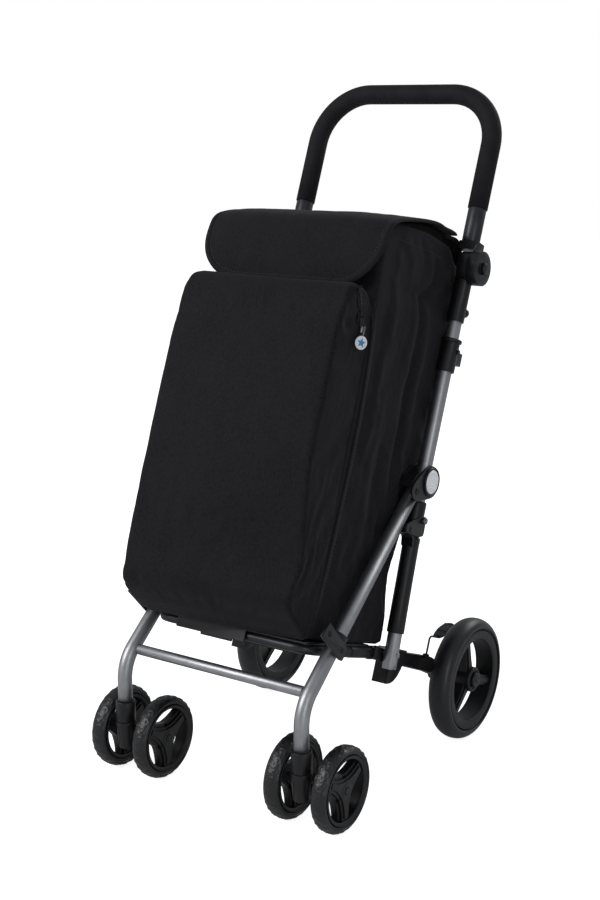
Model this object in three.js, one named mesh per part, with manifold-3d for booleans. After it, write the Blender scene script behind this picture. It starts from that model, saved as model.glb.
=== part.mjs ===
// Folding four-wheel shopping trolley: a leaning tube frame with a fabric bag, a tilting foam handle,
// swinging front legs on twin casters and a rear axle that tucks under when the knee joints unlock.
// Millimetres, X right, Y rearwards, Z up, the floor at Z = 0.
import * as THREE from "three";
import { mergeVertices } from "three/addons/utils/BufferGeometryUtils.js";
import Module from "manifold-3d";

const wasm = await Module();
wasm.setup();

// ---------------------------------------------------------------- driving dimensions
const GAP = 0.3;                    // clearance between pieces that touch
const SIDES = [["left", -1], ["right", 1]];

// The frame leans back. In the lean frame a point is (x, n, s): s runs up the main tubes from the
// knee-side foot, and n runs forwards, square to them, from the main tubes' axis.
const LEAN = THREE.MathUtils.degToRad(21.8);
const FOOT_Y = -45.1;
const FOOT_Z = 196.7;

const TUBE_X = 160;                 // both main tubes, both front legs and both caster stems
const TUBE_R = 11;
const BORE_R = TUBE_R + GAP;        // inside of every sleeve on a 22 mm tube
const SLEEVE_R = 13.6;

const LEG_PIVOT = { s: 266, n: 0 };
const KNEE_PIVOT = { s: 188, n: 29 };
const HANDLE_PIVOT = { s: 600, n: 2 };

const CASTER_Y = -270.9;
const FRONT_WHEEL = { radius: 63, width: 25, tyreInner: 51, rimInner: 45, hub: 12, spokes: 3 };
const CASTER_TRAIL = 38.5;
const FRONT_AXLE_Y = CASTER_Y + CASTER_TRAIL;
const FRONT_WHEEL_OFFSET = 40;
const AXLE_R = 5;

const REAR_WHEEL = { radius: 98, width: 37, tyreInner: 81, rimInner: 66, hub: 20, spokes: 3 };
const REAR_AXLE_Y = 159.1;
const REAR_WHEEL_X = 187;

const BAG_HALF_WIDTH = 142;
const BAG_WALL = 5;

// ---------------------------------------------------------------- materials
const finish = (color, roughness, metalness = 0) =>
  new THREE.MeshStandardMaterial({ color, roughness, metalness });
const SILVER = () => finish(0xb9bcc2, 0.34, 0.9);
const CHARCOAL = () => finish(0x34343a, 0.4, 0.3);
const PLASTIC = () => finish(0x1d1d20, 0.5);
const REFLECTOR = () => finish(0xd8dade, 0.2);
const FOAM = () => finish(0x232326, 0.85);
const RUBBER = () => finish(0x26262a, 0.42);
const FABRIC = () => finish(0x212025, 0.9);

// ---------------------------------------------------------------- the scene graph
const cart = new THREE.Group();
const lean = new THREE.Group();     // local axes are x, -n and s
lean.position.set(0, FOOT_Y, FOOT_Z);
lean.rotation.x = -LEAN;
cart.add(lean);

const LOWER_TILT = THREE.MathUtils.degToRad(3.6);
const LOWER_HINGE_S = 254;
const lower = new THREE.Group();
lower.rotation.x = LOWER_TILT;
lower.position.set(0, LOWER_HINGE_S * Math.sin(LOWER_TILT), LOWER_HINGE_S * (1 - Math.cos(LOWER_TILT)));
lean.add(lower);
cart.updateMatrixWorld(true);

function addPiece(parent, name, geometry, material, position = [0, 0, 0]) {
  const mesh = new THREE.Mesh(geometry, material);
  mesh.name = name;
  mesh.position.set(...position);
  parent.add(mesh);
  return mesh;
}

// A point of the lean frame, in the lean group's own axes.
const at = (x, n, s) => new THREE.Vector3(x, -n, s);
// The same point in the whole trolley's axes, as [y, z].
const toWorld = (n, s) => [
  FOOT_Y + s * Math.sin(LEAN) - n * Math.cos(LEAN),
  FOOT_Z + s * Math.cos(LEAN) + n * Math.sin(LEAN),
];
// [n, s] of a point given in the whole trolley's axes.
function toLean(y, z) {
  const dy = y - FOOT_Y;
  const dz = z - FOOT_Z;
  return [-dy * Math.cos(LEAN) + dz * Math.sin(LEAN), dy * Math.sin(LEAN) + dz * Math.cos(LEAN)];
}

// ---------------------------------------------------------------- solids
function toSolid(geometry) {
  const bare = geometry.clone();
  bare.deleteAttribute("normal");
  bare.deleteAttribute("uv");
  const merged = mergeVertices(bare, 1e-4);
  return new wasm.Manifold(new wasm.Mesh({
    numProp: 3,
    vertProperties: new Float32Array(merged.attributes.position.array),
    triVerts: new Uint32Array(merged.index.array),
  }));
}

function toGeometry(solid) {
  const mesh = solid.getMesh();
  const geometry = new THREE.BufferGeometry();
  geometry.setAttribute("position", new THREE.BufferAttribute(mesh.vertProperties, 3));
  geometry.setIndex(new THREE.BufferAttribute(mesh.triVerts, 1));
  geometry.computeVertexNormals();
  return geometry;
}

const join = (...geometries) => toGeometry(geometries.map(toSolid).reduce((a, b) => a.add(b)));
const cut = (geometry, ...tools) => toGeometry(tools.map(toSolid).reduce((a, b) => a.subtract(b), toSolid(geometry)));

const hull = (...geometries) => toGeometry(wasm.Manifold.hull(geometries.map(toSolid)));

// A straight round bar between two points.
function rod(start, end, radius, sides = 16) {
  const axis = new THREE.Vector3().subVectors(end, start);
  const geometry = new THREE.CylinderGeometry(radius, radius, axis.length(), sides);
  const turn = new THREE.Quaternion().setFromUnitVectors(new THREE.Vector3(0, 1, 0), axis.clone().normalize());
  geometry.applyQuaternion(turn);
  const middle = new THREE.Vector3().addVectors(start, end).multiplyScalar(0.5);
  return geometry.translate(middle.x, middle.y, middle.z);
}

function box(center, size) {
  return new THREE.BoxGeometry(size[0], size[1], size[2]).translate(center.x, center.y, center.z);
}

// A ring or cup turned about the vertical: profile is a list of [radius, height] that closes on itself.
function turned(profile, sides = 20) {
  const points = profile.map(([radius, height]) => new THREE.Vector2(radius, height));
  return new THREE.LatheGeometry(points, sides).rotateX(Math.PI / 2);
}

// Tube sleeve along the local vertical, open right through.
const sleeve = (outer, inner, bottom, top, sides = 16) => turned(
  [[inner, bottom], [outer, bottom], [outer, top], [inner, top], [inner, bottom]], sides);

// A plate whose outline is drawn in [n, s] and that is thick across X, in the lean group's axes.
function sidePlate(outline, x0, x1) {
  const shape = outline instanceof THREE.Shape ? outline : polygon(outline);
  return new THREE.ExtrudeGeometry(shape, { depth: x1 - x0, bevelEnabled: false, curveSegments: 6 })
    .applyMatrix4(new THREE.Matrix4().set(0, 0, -1, x1, -1, 0, 0, 0, 0, 1, 0, 0, 0, 0, 0, 1));
}

function polygon(points) {
  return new THREE.Shape(points.map(([n, s]) => new THREE.Vector2(n, s)));
}

// ---------------------------------------------------------------- bent tubes
class CornerArc extends THREE.Curve {
  constructor(before, corner, after, radius) {
    super();
    const toBefore = new THREE.Vector3().subVectors(before, corner).normalize();
    const toAfter = new THREE.Vector3().subVectors(after, corner).normalize();
    const half = toBefore.angleTo(toAfter) / 2;
    this.trim = radius / Math.tan(half);
    this.start = corner.clone().addScaledVector(toBefore, this.trim);
    this.end = corner.clone().addScaledVector(toAfter, this.trim);
    const bisector = toBefore.add(toAfter).normalize();
    this.center = corner.clone().addScaledVector(bisector, radius / Math.sin(half));
    this.axis = new THREE.Vector3().subVectors(this.start, this.center)
      .cross(new THREE.Vector3().subVectors(this.end, this.center)).normalize();
    this.sweep = Math.PI - 2 * half;
  }

  getPoint(t, target = new THREE.Vector3()) {
    return target.subVectors(this.start, this.center).applyAxisAngle(this.axis, t * this.sweep).add(this.center);
  }
}

// Straight runs joined by arcs of one bend radius.
function bentPath(points, radius) {
  const path = new THREE.CurvePath();
  let last = points[0];
  for (let i = 1; i < points.length - 1; i += 1) {
    const arc = new CornerArc(points[i - 1], points[i], points[i + 1], radius);
    path.add(new THREE.LineCurve3(last, arc.start));
    path.add(arc);
    last = arc.end;
  }
  path.add(new THREE.LineCurve3(last, points[points.length - 1]));
  return path;
}

function bentTube(path, radius, steps, sides = 14) {
  const section = new THREE.Shape().absarc(0, 0, radius, 0, 2 * Math.PI);
  return new THREE.ExtrudeGeometry(section, { steps, curveSegments: sides / 2, extrudePath: path });
}

// ---------------------------------------------------------------- main frame
const MAIN_TUBE_BOTTOM = 186;
const MAIN_TUBE_TOP = 562;
const KNEE_SOCKET = { bottom: 180, top: 234, radius: 14 };
const EAR = { radius: 16, inner: 12, outer: 15 };
const COLLAR = { bottom: 436, top: 487, radius: 14.5 };
const BACK_BAR = { s: 462, n: -25, radius: 6 };

function kneeBracketGeometry() {
  const floor = turned([[0, KNEE_SOCKET.bottom], [KNEE_SOCKET.radius, KNEE_SOCKET.bottom],
    [KNEE_SOCKET.radius, KNEE_SOCKET.top], [BORE_R, KNEE_SOCKET.top],
    [BORE_R, MAIN_TUBE_BOTTOM - GAP], [0, MAIN_TUBE_BOTTOM - GAP]], 16);
  const { s, n } = KNEE_PIVOT;
  const outline = new THREE.Shape();
  outline.moveTo(-10, 181);
  outline.lineTo(n - 2, s - EAR.radius + 0.1);
  outline.absarc(n, s, EAR.radius, -Math.PI / 2, Math.PI * 0.28);
  outline.lineTo(10, 216);
  outline.lineTo(-10, 216);
  const ears = [-1, 1].map((side) => sidePlate(outline,
    Math.min(side * EAR.inner, side * EAR.outer), Math.max(side * EAR.inner, side * EAR.outer)));
  const bolt = [-1, 1].map((side) => rod(at(side * EAR.inner, n, s), at(side * (EAR.outer + 1.5), n, s), 6, 12));
  return join(floor, ...ears, ...bolt);
}

function bagHookGeometry(side) {
  const ring = sleeve(COLLAR.radius, BORE_R, COLLAR.bottom, COLLAR.top);
  const lip = sleeve(17, BORE_R, COLLAR.top - 5, COLLAR.top);
  const lug = cut(box(at(0, -22, BACK_BAR.s), [14, 22, 20]), rod(at(-20, 0, BACK_BAR.s), at(20, 0, BACK_BAR.s), BORE_R));
  const socket = rod(at(-side * 20, BACK_BAR.n, BACK_BAR.s), at(-side * 3, BACK_BAR.n, BACK_BAR.s), BACK_BAR.radius + GAP);
  const bore = rod(at(0, 0, COLLAR.bottom - 5), at(0, 0, COLLAR.top + 5), BORE_R);
  const nub = rod(at(side * 13, 0, 468), at(side * 18, 0, 468), 4, 10);
  return cut(join(ring, lip, lug, nub), socket, bore);
}

for (const [name, side] of SIDES) {
  const x = side * TUBE_X;
  addPiece(lean, `main_tube_${name}`, rod(at(0, 0, MAIN_TUBE_BOTTOM), at(0, 0, MAIN_TUBE_TOP), TUBE_R),
    SILVER(), [x, 0, 0]);
  addPiece(lean, `knee_bracket_${name}`, kneeBracketGeometry(), PLASTIC(), [x, 0, 0]);
  addPiece(lean, `bag_hook_${name}`, bagHookGeometry(side), PLASTIC(), [x, 0, 0]);
}
addPiece(lean, "back_bar", rod(at(-TUBE_X + 3.5, BACK_BAR.n, BACK_BAR.s), at(TUBE_X - 3.5, BACK_BAR.n, BACK_BAR.s),
  BACK_BAR.radius, 12), CHARCOAL());

// ---------------------------------------------------------------- bag
// Side outlines in [n, s]: the body with its raised back edge, and the hollow inside it.
const BAG_FRONT_TOP = 590;
const BAG_OUTLINE = [[-15, 11], [-15, 580], [19, 611], [19, 640], [26, 640], [50, 624], [195, 600],
  [217, BAG_FRONT_TOP], [198, 3]];
const BAG_HOLLOW = [[-10, 20], [-10, 577], [25, 609], [25, 700], [212, 700], [212, 585], [193, 20]];
const POCKET_HALF_WIDTH = 141;
const FLAP_HALF_WIDTH = 156;

const bagShell = sidePlate(BAG_OUTLINE, -BAG_HALF_WIDTH, BAG_HALF_WIDTH);
const bagHollow = sidePlate(BAG_HOLLOW, -BAG_HALF_WIDTH + BAG_WALL, BAG_HALF_WIDTH - BAG_WALL);
addPiece(lean, "bag_body", cut(bagShell, bagHollow), FABRIC());

const POCKET_OUTLINE = [[200, 5], [236, 8], [262, 22], [277, 45], [284, 110], [288, 210], [287, 330], [285, 440],
  [279, 474], [266, 489], [247, 493], [230, 488], [219, 474], [215, 450]];
addPiece(lean, "bag_pocket", sidePlate(POCKET_OUTLINE, -POCKET_HALF_WIDTH, POCKET_HALF_WIDTH), FABRIC());

const FLAP_OUTLINE = [[20, 643], [97, 631], [172, 613], [217, 599], [232, 580], [238, 500],
  [243, 500], [237, 583], [222, 603], [173, 618], [98, 636], [20, 648]];
addPiece(lean, "bag_flap", sidePlate(FLAP_OUTLINE, -FLAP_HALF_WIDTH, FLAP_HALF_WIDTH), FABRIC());

const ZIP = { s: 452, n: 262, x: POCKET_HALF_WIDTH + GAP };
addPiece(lean, "zip_slider", join(
  box(at(ZIP.x + 2, ZIP.n, ZIP.s), [4, 9, 12]),
  box(at(ZIP.x + 3, ZIP.n, ZIP.s - 16), [2, 6, 26])), PLASTIC());

// ---------------------------------------------------------------- front legs
const LEG_DIRECTION = new THREE.Vector3(0, -0.7705, -0.6374);
const LEG_SCREW = { s: 242, n: 23.5 };
const LEG_BEND_Z = 187;
const LEG_BEND_RADIUS = 60;
const SOCKET = { top: 125.5, floor: 99, bottom: 94, radius: 15 };
const CROSSBAR = { y: -249, z: 202, radius: 8 };
const LEG_BRACKET = { boss: 24, lobe: { n: 36, s: 238, radius: 15 }, inner: 11.8, outer: 15 };
const CLIP = {
  along: 268, half: 9, inner: 11.3, outer: 15,
  plate: [[203, 31], [217, 10.5], [157, -18], [150, -19], [144.5, -10], [143.5, 1]],
  window: { n: 197.7, s: 15.6, half: 5 }, rivet: { n: 153, s: -5 },
};

const [legScrewY, legScrewZ] = toWorld(LEG_SCREW.n, LEG_SCREW.s);
const legScrew = new THREE.Vector3(0, legScrewY, legScrewZ);
const legPoint = (along) => legScrew.clone().addScaledVector(LEG_DIRECTION, along);

function legTubeGeometry() {
  const corner = legPoint((legScrewZ - LEG_BEND_Z) / -LEG_DIRECTION.z);
  corner.y = CASTER_Y;
  const path = bentPath([legPoint(-3), corner, new THREE.Vector3(0, CASTER_Y, SOCKET.floor + GAP)], LEG_BEND_RADIUS);
  return bentTube(path, TUBE_R, 24, 12);
}

// Two cheeks on the leg pivot reach down either side of the leg's top end and meet in a bridge above it.
function legBracketGeometry(side) {
  const { s, n } = LEG_PIVOT;
  const { boss, lobe, inner, outer } = LEG_BRACKET;
  const cheeks = [-1, 1].map((cheek) => hull(
    rod(at(cheek * inner, n, s), at(cheek * outer, n, s), boss, 24),
    rod(at(cheek * inner, lobe.n, lobe.s), at(cheek * outer, lobe.n, lobe.s), lobe.radius, 16)));
  const bridge = box(at(0, 45, 259), [2 * outer, 5, 10]);
  const arms = [-1, 1].map((cheek) => box(at(cheek * (inner + outer) / 2, 36, 256), [outer - inner, 23, 16]));
  const disc = rod(at(side * inner, n, s), at(side * (outer + 3), n, s), 19.5, 24);
  return join(...cheeks, bridge, ...arms, disc);
}

// A ring round the leg carries an outer plate that reaches forward, with a square window and a rivet.
function legClipGeometry() {
  const bore = rod(legPoint(CLIP.along - 60), legPoint(CLIP.along + 30), BORE_R);
  const wrap = rod(legPoint(CLIP.along - CLIP.half), legPoint(CLIP.along + CLIP.half), SLEEVE_R + 0.6);
  const upright = (points) => points.map(([n, s]) => {
    const [y, z] = toWorld(n, s);
    return [-y, z];
  });
  const plate = sidePlate(upright(CLIP.plate), CLIP.inner, CLIP.outer);
  const { n, s, half } = CLIP.window;
  const window = sidePlate(upright([[n - half, s - half + 2], [n + half - 3, s - half], [n + half, s + half - 2],
    [n - half + 3, s + half]]), CLIP.inner - 1, CLIP.outer + 1);
  const [rivetY, rivetZ] = toWorld(CLIP.rivet.n, CLIP.rivet.s);
  const rivet = rod(new THREE.Vector3(CLIP.inner, rivetY, rivetZ), new THREE.Vector3(CLIP.outer + 1.2, rivetY, rivetZ), 4, 12);
  return cut(join(wrap, plate, rivet), bore, window);
}

for (const [name, side] of SIDES) {
  const x = side * TUBE_X;
  addPiece(cart, `leg_tube_${name}`, legTubeGeometry(), SILVER(), [x, 0, 0]);
  addPiece(lean, `leg_bracket_${name}`, legBracketGeometry(side), PLASTIC(), [x, 0, 0]);
  addPiece(lean, `reflector_${name}`, rod(at(side * (18 + GAP), 0, LEG_PIVOT.s), at(side * 22, 0, LEG_PIVOT.s), 17, 24),
    REFLECTOR(), [x, 0, 0]);
  const clip = legClipGeometry();
  addPiece(cart, `leg_clip_${name}`, side > 0 ? clip : mirrorX(clip), PLASTIC(), [x, 0, 0]);
  addPiece(cart, `caster_socket_${name}`, turned([[0, SOCKET.bottom], [SOCKET.radius, SOCKET.bottom],
    [SOCKET.radius, SOCKET.top], [BORE_R, SOCKET.top], [BORE_R, SOCKET.floor], [0, SOCKET.floor]]), PLASTIC(), [x, CASTER_Y, 0]);
}

function mirrorX(geometry) {
  return toGeometry(toSolid(geometry).mirror([1, 0, 0]));
}

const crossbarEnd = TUBE_X - TUBE_R - GAP;
const bar = (half) => rod(new THREE.Vector3(-half, CROSSBAR.y, CROSSBAR.z), new THREE.Vector3(half, CROSSBAR.y, CROSSBAR.z),
  CROSSBAR.radius);
addPiece(cart, "leg_crossbar", bar(crossbarEnd), SILVER());

// ---------------------------------------------------------------- wheels
// Axis along X, centred on the origin, with a facet edge resting on the floor.
const WHEEL_SIDES = 28;
const FACET_INSET = Math.cos(Math.PI / WHEEL_SIDES);

function tyreGeometry({ radius, width, tyreInner }, crown) {
  const half = width / 2;
  const shoulder = new THREE.Path();
  shoulder.moveTo(tyreInner, -half * 0.8);
  shoulder.lineTo(radius - crown, -half);
  shoulder.quadraticCurveTo(radius, -half, radius, 0);
  shoulder.quadraticCurveTo(radius, half, radius - crown, half);
  shoulder.lineTo(tyreInner, half * 0.8);
  shoulder.lineTo(tyreInner, -half * 0.8);
  const geometry = new THREE.LatheGeometry(shoulder.getPoints(3), WHEEL_SIDES);
  return geometry.rotateZ(Math.PI / 2);
}

function rimGeometry({ tyreInner, rimInner, hub, width, spokes }, thickness, spokeHalfWidth, bore, turn) {
  const outline = new THREE.Shape().absarc(0, 0, tyreInner * FACET_INSET - GAP, 0, 2 * Math.PI);
  const step = (2 * Math.PI) / spokes;
  for (let i = 0; i < spokes; i += 1) {
    const outerHalf = Math.asin(spokeHalfWidth / rimInner);
    const innerHalf = Math.asin(Math.min(0.95, spokeHalfWidth / hub));
    const hole = new THREE.Path();
    const start = turn + i * step;
    hole.absarc(0, 0, rimInner, start + outerHalf, start + step - outerHalf, false);
    hole.absarc(0, 0, hub, start + step - innerHalf, start + innerHalf, true);
    outline.holes.push(hole);
  }
  outline.holes.push(new THREE.Path().absarc(0, 0, bore, 0, 2 * Math.PI));
  const rim = new THREE.ExtrudeGeometry(outline, { depth: thickness, bevelEnabled: false, curveSegments: 11 })
    .translate(0, 0, -thickness / 2).rotateY(Math.PI / 2);
  const collar = new THREE.LatheGeometry([[bore, -width / 2], [hub, -width / 2], [hub, width / 2], [bore, width / 2],
    [bore, -width / 2]].map(([r, h]) => new THREE.Vector2(r, h)), 14).rotateZ(Math.PI / 2);
  return join(rim, collar);
}

// ---------------------------------------------------------------- front casters
const BARREL = { top: SOCKET.bottom - GAP, bottom: 52, radius: 14 };
const FRONT_SPOKE_HALF = 7;

function casterForkGeometry() {
  const barrel = turned([[0, BARREL.bottom], [BARREL.radius - 2, BARREL.bottom], [BARREL.radius, BARREL.bottom + 30],
    [BARREL.radius + 1.5, BARREL.top - 4], [BARREL.radius + 1.5, BARREL.top], [0, BARREL.top]]);
  const radius = FRONT_WHEEL.radius;
  const arm = box(new THREE.Vector3(0, CASTER_TRAIL / 2, radius + 2), [20, CASTER_TRAIL, 18]);
  const knuckle = rod(new THREE.Vector3(-13, CASTER_TRAIL, radius), new THREE.Vector3(13, CASTER_TRAIL, radius), 12, 20);
  const half = FRONT_WHEEL_OFFSET + FRONT_WHEEL.width / 2 - 2;
  const axle = rod(new THREE.Vector3(-half, CASTER_TRAIL, radius), new THREE.Vector3(half, CASTER_TRAIL, radius), AXLE_R, 12);
  return join(barrel, arm, knuckle, axle);
}

for (const [name, side] of SIDES) {
  addPiece(cart, `caster_fork_${name}`, casterForkGeometry(), PLASTIC(), [side * TUBE_X, CASTER_Y, 0]);
  for (const [place, sign] of [["inner", -side], ["outer", side]]) {
    const position = [side * TUBE_X + sign * FRONT_WHEEL_OFFSET, FRONT_AXLE_Y, FRONT_WHEEL.radius];
    addPiece(cart, `front_tyre_${name}_${place}`, tyreGeometry(FRONT_WHEEL, 7), RUBBER(), position);
    addPiece(cart, `front_rim_${name}_${place}`, rimGeometry(FRONT_WHEEL, 18, FRONT_SPOKE_HALF, AXLE_R + GAP, Math.PI / 2),
      PLASTIC(), position);
  }
}

// ---------------------------------------------------------------- lower legs
// The lower legs stand a little more upright than the main tubes: they turn about LOWER_HINGE_S on the tube axis.
const LOWER_TUBE = { bottom: -22, top: 164 };
const COVER = { bottom: 33, top: 177, radius: 13.7 };

function lowerLegGeometry() {
  const tube = rod(at(0, 0, LOWER_TUBE.bottom), at(0, 0, LOWER_TUBE.top), TUBE_R);
  const notch = sidePlate([[-6, LOWER_TUBE.bottom - 1], [0, LOWER_TUBE.bottom + 7], [7, LOWER_TUBE.bottom - 1]], -15, 15);
  const rivet = rod(at(-TUBE_R - 1.5, 0, 0), at(TUBE_R + 1.5, 0, 0), 4.5, 12);
  return join(cut(tube, notch), rivet);
}

function lowerCoverGeometry() {
  const eyePoint = lower.worldToLocal(lean.localToWorld(at(0, KNEE_PIVOT.n, KNEE_PIVOT.s)));
  const n = -eyePoint.y;
  const s = eyePoint.z;
  const cup = turned([[0, LOWER_TUBE.top + GAP], [BORE_R, LOWER_TUBE.top + GAP], [BORE_R, COVER.bottom],
    [COVER.radius, COVER.bottom], [COVER.radius, COVER.top], [0, COVER.top]], 16);
  const tongue = box(at(0, 18, 168), [20, 28, 18]);
  const eye = rod(at(-10, n, s), at(10, n, s), 9.5, 20);
  const neck = box(at(0, n, s - 8), [20, 18, 14]);
  const bore = rod(at(0, 0, COVER.bottom), at(0, 0, LOWER_TUBE.top + GAP), BORE_R);
  return cut(join(cup, tongue, eye, neck), bore);
}

for (const [name, side] of SIDES) {
  const x = side * TUBE_X;
  addPiece(lower, `lower_leg_${name}`, lowerLegGeometry(), SILVER(), [x, 0, 0]);
  addPiece(lower, `lower_cover_${name}`, lowerCoverGeometry(), PLASTIC(), [x, 0, 0]);
  const pinX = side * (EAR.outer + GAP);
  addPiece(lean, `knee_pin_${name}`, rod(at(pinX, 0, 206), at(pinX + side * 6, 0, 206), 5, 12), SILVER(), [x, 0, 0]);
}

// ---------------------------------------------------------------- base
const HOUSING = { inner: 121, outer: 147, front: -42, top: 9, bottom: -46 };
const RAIL = { x: 136, front: 182, frontS: -14, rearS: 0, radius: 7.5, bend: 28 };
// The rails climb a little from the front bar to the housings.
const railS = (n) => RAIL.frontS + (RAIL.rearS - RAIL.frontS) * (RAIL.front - n) / (RAIL.front - HOUSING.front);
const [REAR_AXLE_N, REAR_AXLE_S] = toLean(REAR_AXLE_Y, REAR_WHEEL.radius);
const REAR_AXLE_R = 6;
const ARM = [[-62, 5], [-62, -14], [-170, -18], [-226, -24.8], [-226, -4], [-170, 6]];
const RAIL_SOCKET = { front: 12, radius: 10.5 };

// The axle arm, its quarter-round housing and the lug on the leg's foot, on one side.
function housingGeometry() {
  const block = new THREE.Shape();
  block.moveTo(HOUSING.front, HOUSING.top);
  block.lineTo(HOUSING.front, HOUSING.bottom);
  block.quadraticCurveTo(HOUSING.front - 38, HOUSING.bottom, HOUSING.front - 46, HOUSING.top);
  const eye = new THREE.Shape().absarc(REAR_AXLE_N, REAR_AXLE_S, 14, 0, 2 * Math.PI);
  const lug = [[12, 9], [12, -10], [HOUSING.front - 6, -20], [HOUSING.front - 6, 2]];
  const socket = rod(at(RAIL.x, HOUSING.front - 2, railS(HOUSING.front - 2)),
    at(RAIL.x, RAIL_SOCKET.front, railS(RAIL_SOCKET.front)), RAIL_SOCKET.radius, 20);
  const body = join(sidePlate(block, HOUSING.inner, HOUSING.outer), sidePlate(ARM, HOUSING.inner + 4, HOUSING.outer),
    sidePlate(eye, HOUSING.inner + 4, HOUSING.outer + 5), sidePlate(lug, RAIL.x + RAIL.radius + 1, HOUSING.outer), socket);
  const railBore = rod(at(RAIL.x, HOUSING.front, railS(HOUSING.front)), at(RAIL.x, 30, railS(30)), RAIL.radius + GAP, 20);
  const axleBore = rod(at(100, REAR_AXLE_N, REAR_AXLE_S), at(200, REAR_AXLE_N, REAR_AXLE_S), REAR_AXLE_R + GAP);
  return cut(body, railBore, axleBore);
}

for (const [name, side] of SIDES) {
  const housing = housingGeometry();
  addPiece(lean, `base_housing_${name}`, side > 0 ? housing : mirrorX(housing), PLASTIC());
}
const railPoints = [[-1, HOUSING.front + GAP], [-1, RAIL.front], [1, RAIL.front], [1, HOUSING.front + GAP]]
  .map(([side, n]) => at(side * RAIL.x, n, railS(n)));
addPiece(lean, "base_frame", bentTube(bentPath(railPoints, RAIL.bend), RAIL.radius, 40, 10), SILVER());
addPiece(lean, "rear_axle", rod(at(-REAR_WHEEL_X - 20, REAR_AXLE_N, REAR_AXLE_S),
  at(REAR_WHEEL_X + 20, REAR_AXLE_N, REAR_AXLE_S), REAR_AXLE_R, 16), SILVER());

// The moulded tray between the rails, with a stepped lower edge, carries the bag's floor.
const TRAY = { back: 20, front: 194, thickness: 4.2, halfWidth: 139 };
const trayUnder = (n) => railS(n) + RAIL.radius + 0.4;
const trayOutline = [[TRAY.back, trayUnder(TRAY.back)], [TRAY.front, trayUnder(TRAY.front)],
  [TRAY.front, trayUnder(TRAY.front) + TRAY.thickness], [TRAY.back, trayUnder(TRAY.back) + TRAY.thickness]];
const trayLip = (bottom) => [[RAIL.front + RAIL.radius + GAP, bottom], [TRAY.front, bottom],
  [TRAY.front, trayUnder(TRAY.front) + 1], [RAIL.front + RAIL.radius + GAP, trayUnder(TRAY.front) + 1]];
const trayRib = [[RAIL.front - 14, -2], [60, 4], [60, -14], [RAIL.front - 14, -24]];
addPiece(lean, "base_tray", join(
  sidePlate(trayOutline, -TRAY.halfWidth, TRAY.halfWidth),
  sidePlate(trayLip(-23.5), -90, 34), sidePlate(trayLip(-27), -44, 12), sidePlate(trayRib, -108, 108)), PLASTIC());

// ---------------------------------------------------------------- rear wheels
const REAR_SPOKE_HALF = 10;
for (const [name, side] of SIDES) {
  const position = [side * REAR_WHEEL_X, REAR_AXLE_Y, REAR_WHEEL.radius];
  addPiece(cart, `rear_tyre_${name}`, tyreGeometry(REAR_WHEEL, 12), RUBBER(), position);
  addPiece(cart, `rear_rim_${name}`, rimGeometry(REAR_WHEEL, 26, REAR_SPOKE_HALF, REAR_AXLE_R + GAP, Math.PI / 2),
    PLASTIC(), position);
}

// ---------------------------------------------------------------- brake
const BRAKE = { x: 152, n: -144, s: 9, wire: 2 };
const PEDAL = { n: -190, s: 51, tilt: THREE.MathUtils.degToRad(37) };
const brakePath = bentPath([at(BRAKE.x, BRAKE.n, BRAKE.s), at(BRAKE.x, BRAKE.n, BRAKE.s + 29),
  at(BRAKE.x, BRAKE.n - 34, BRAKE.s + 29)], 8);
addPiece(lean, "brake_pedal", join(
  bentTube(brakePath, BRAKE.wire, 14, 8),
  rod(at(HOUSING.outer + GAP, BRAKE.n, BRAKE.s), at(BRAKE.x + 4, BRAKE.n, BRAKE.s), 4, 10),
  new THREE.BoxGeometry(24, 46, 6).rotateX(PEDAL.tilt).translate(BRAKE.x, -PEDAL.n, PEDAL.s)), PLASTIC());

// ---------------------------------------------------------------- handle
const SLIDER = { bottom: 515, cap: 588, radius: SLEEVE_R };
const HUB = { inner: 24, outer: 26.5, face: 14 };
const COLLAR_BLOCK = { bottom: 627, top: 640 };
const HANDLE_R = 14;
const GRIP = { radius: 15.5, start: 694, top: 880, corner: 84 };

function sliderGeometry(side) {
  const { s, n } = HANDLE_PIVOT;
  const cup = turned([[BORE_R, SLIDER.bottom], [SLIDER.radius, SLIDER.bottom], [SLIDER.radius, SLIDER.cap + 4],
    [0, SLIDER.cap + 4], [0, SLIDER.cap], [BORE_R, SLIDER.cap], [BORE_R, SLIDER.bottom]], 16);
  const drum = rod(at(-3.5, n, s + 1), at(HUB.face - GAP, n, s + 1), HUB.inner, 24);
  const bore = rod(at(0, 0, SLIDER.bottom), at(0, 0, SLIDER.cap), BORE_R);
  const solid = cut(join(cup, drum), bore);
  return side > 0 ? solid : mirrorX(solid);
}

function hubDiscGeometry(side) {
  const { s, n } = HANDLE_PIVOT;
  const disc = rod(at(HUB.face, n, s), at(30, n, s), HUB.outer, 32);
  const recess = rod(at(26, n, s), at(32, n, s), 9.5, 20);
  const block = box(at(2.4, n, (COLLAR_BLOCK.bottom + COLLAR_BLOCK.top) / 2),
    [31, 25, COLLAR_BLOCK.top - COLLAR_BLOCK.bottom]);
  const strap = box(at(HUB.face + 2, n, s + 28), [4, 25, 24]);
  const solid = cut(join(disc, block, strap), recess);
  return side > 0 ? solid : mirrorX(solid);
}

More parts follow.
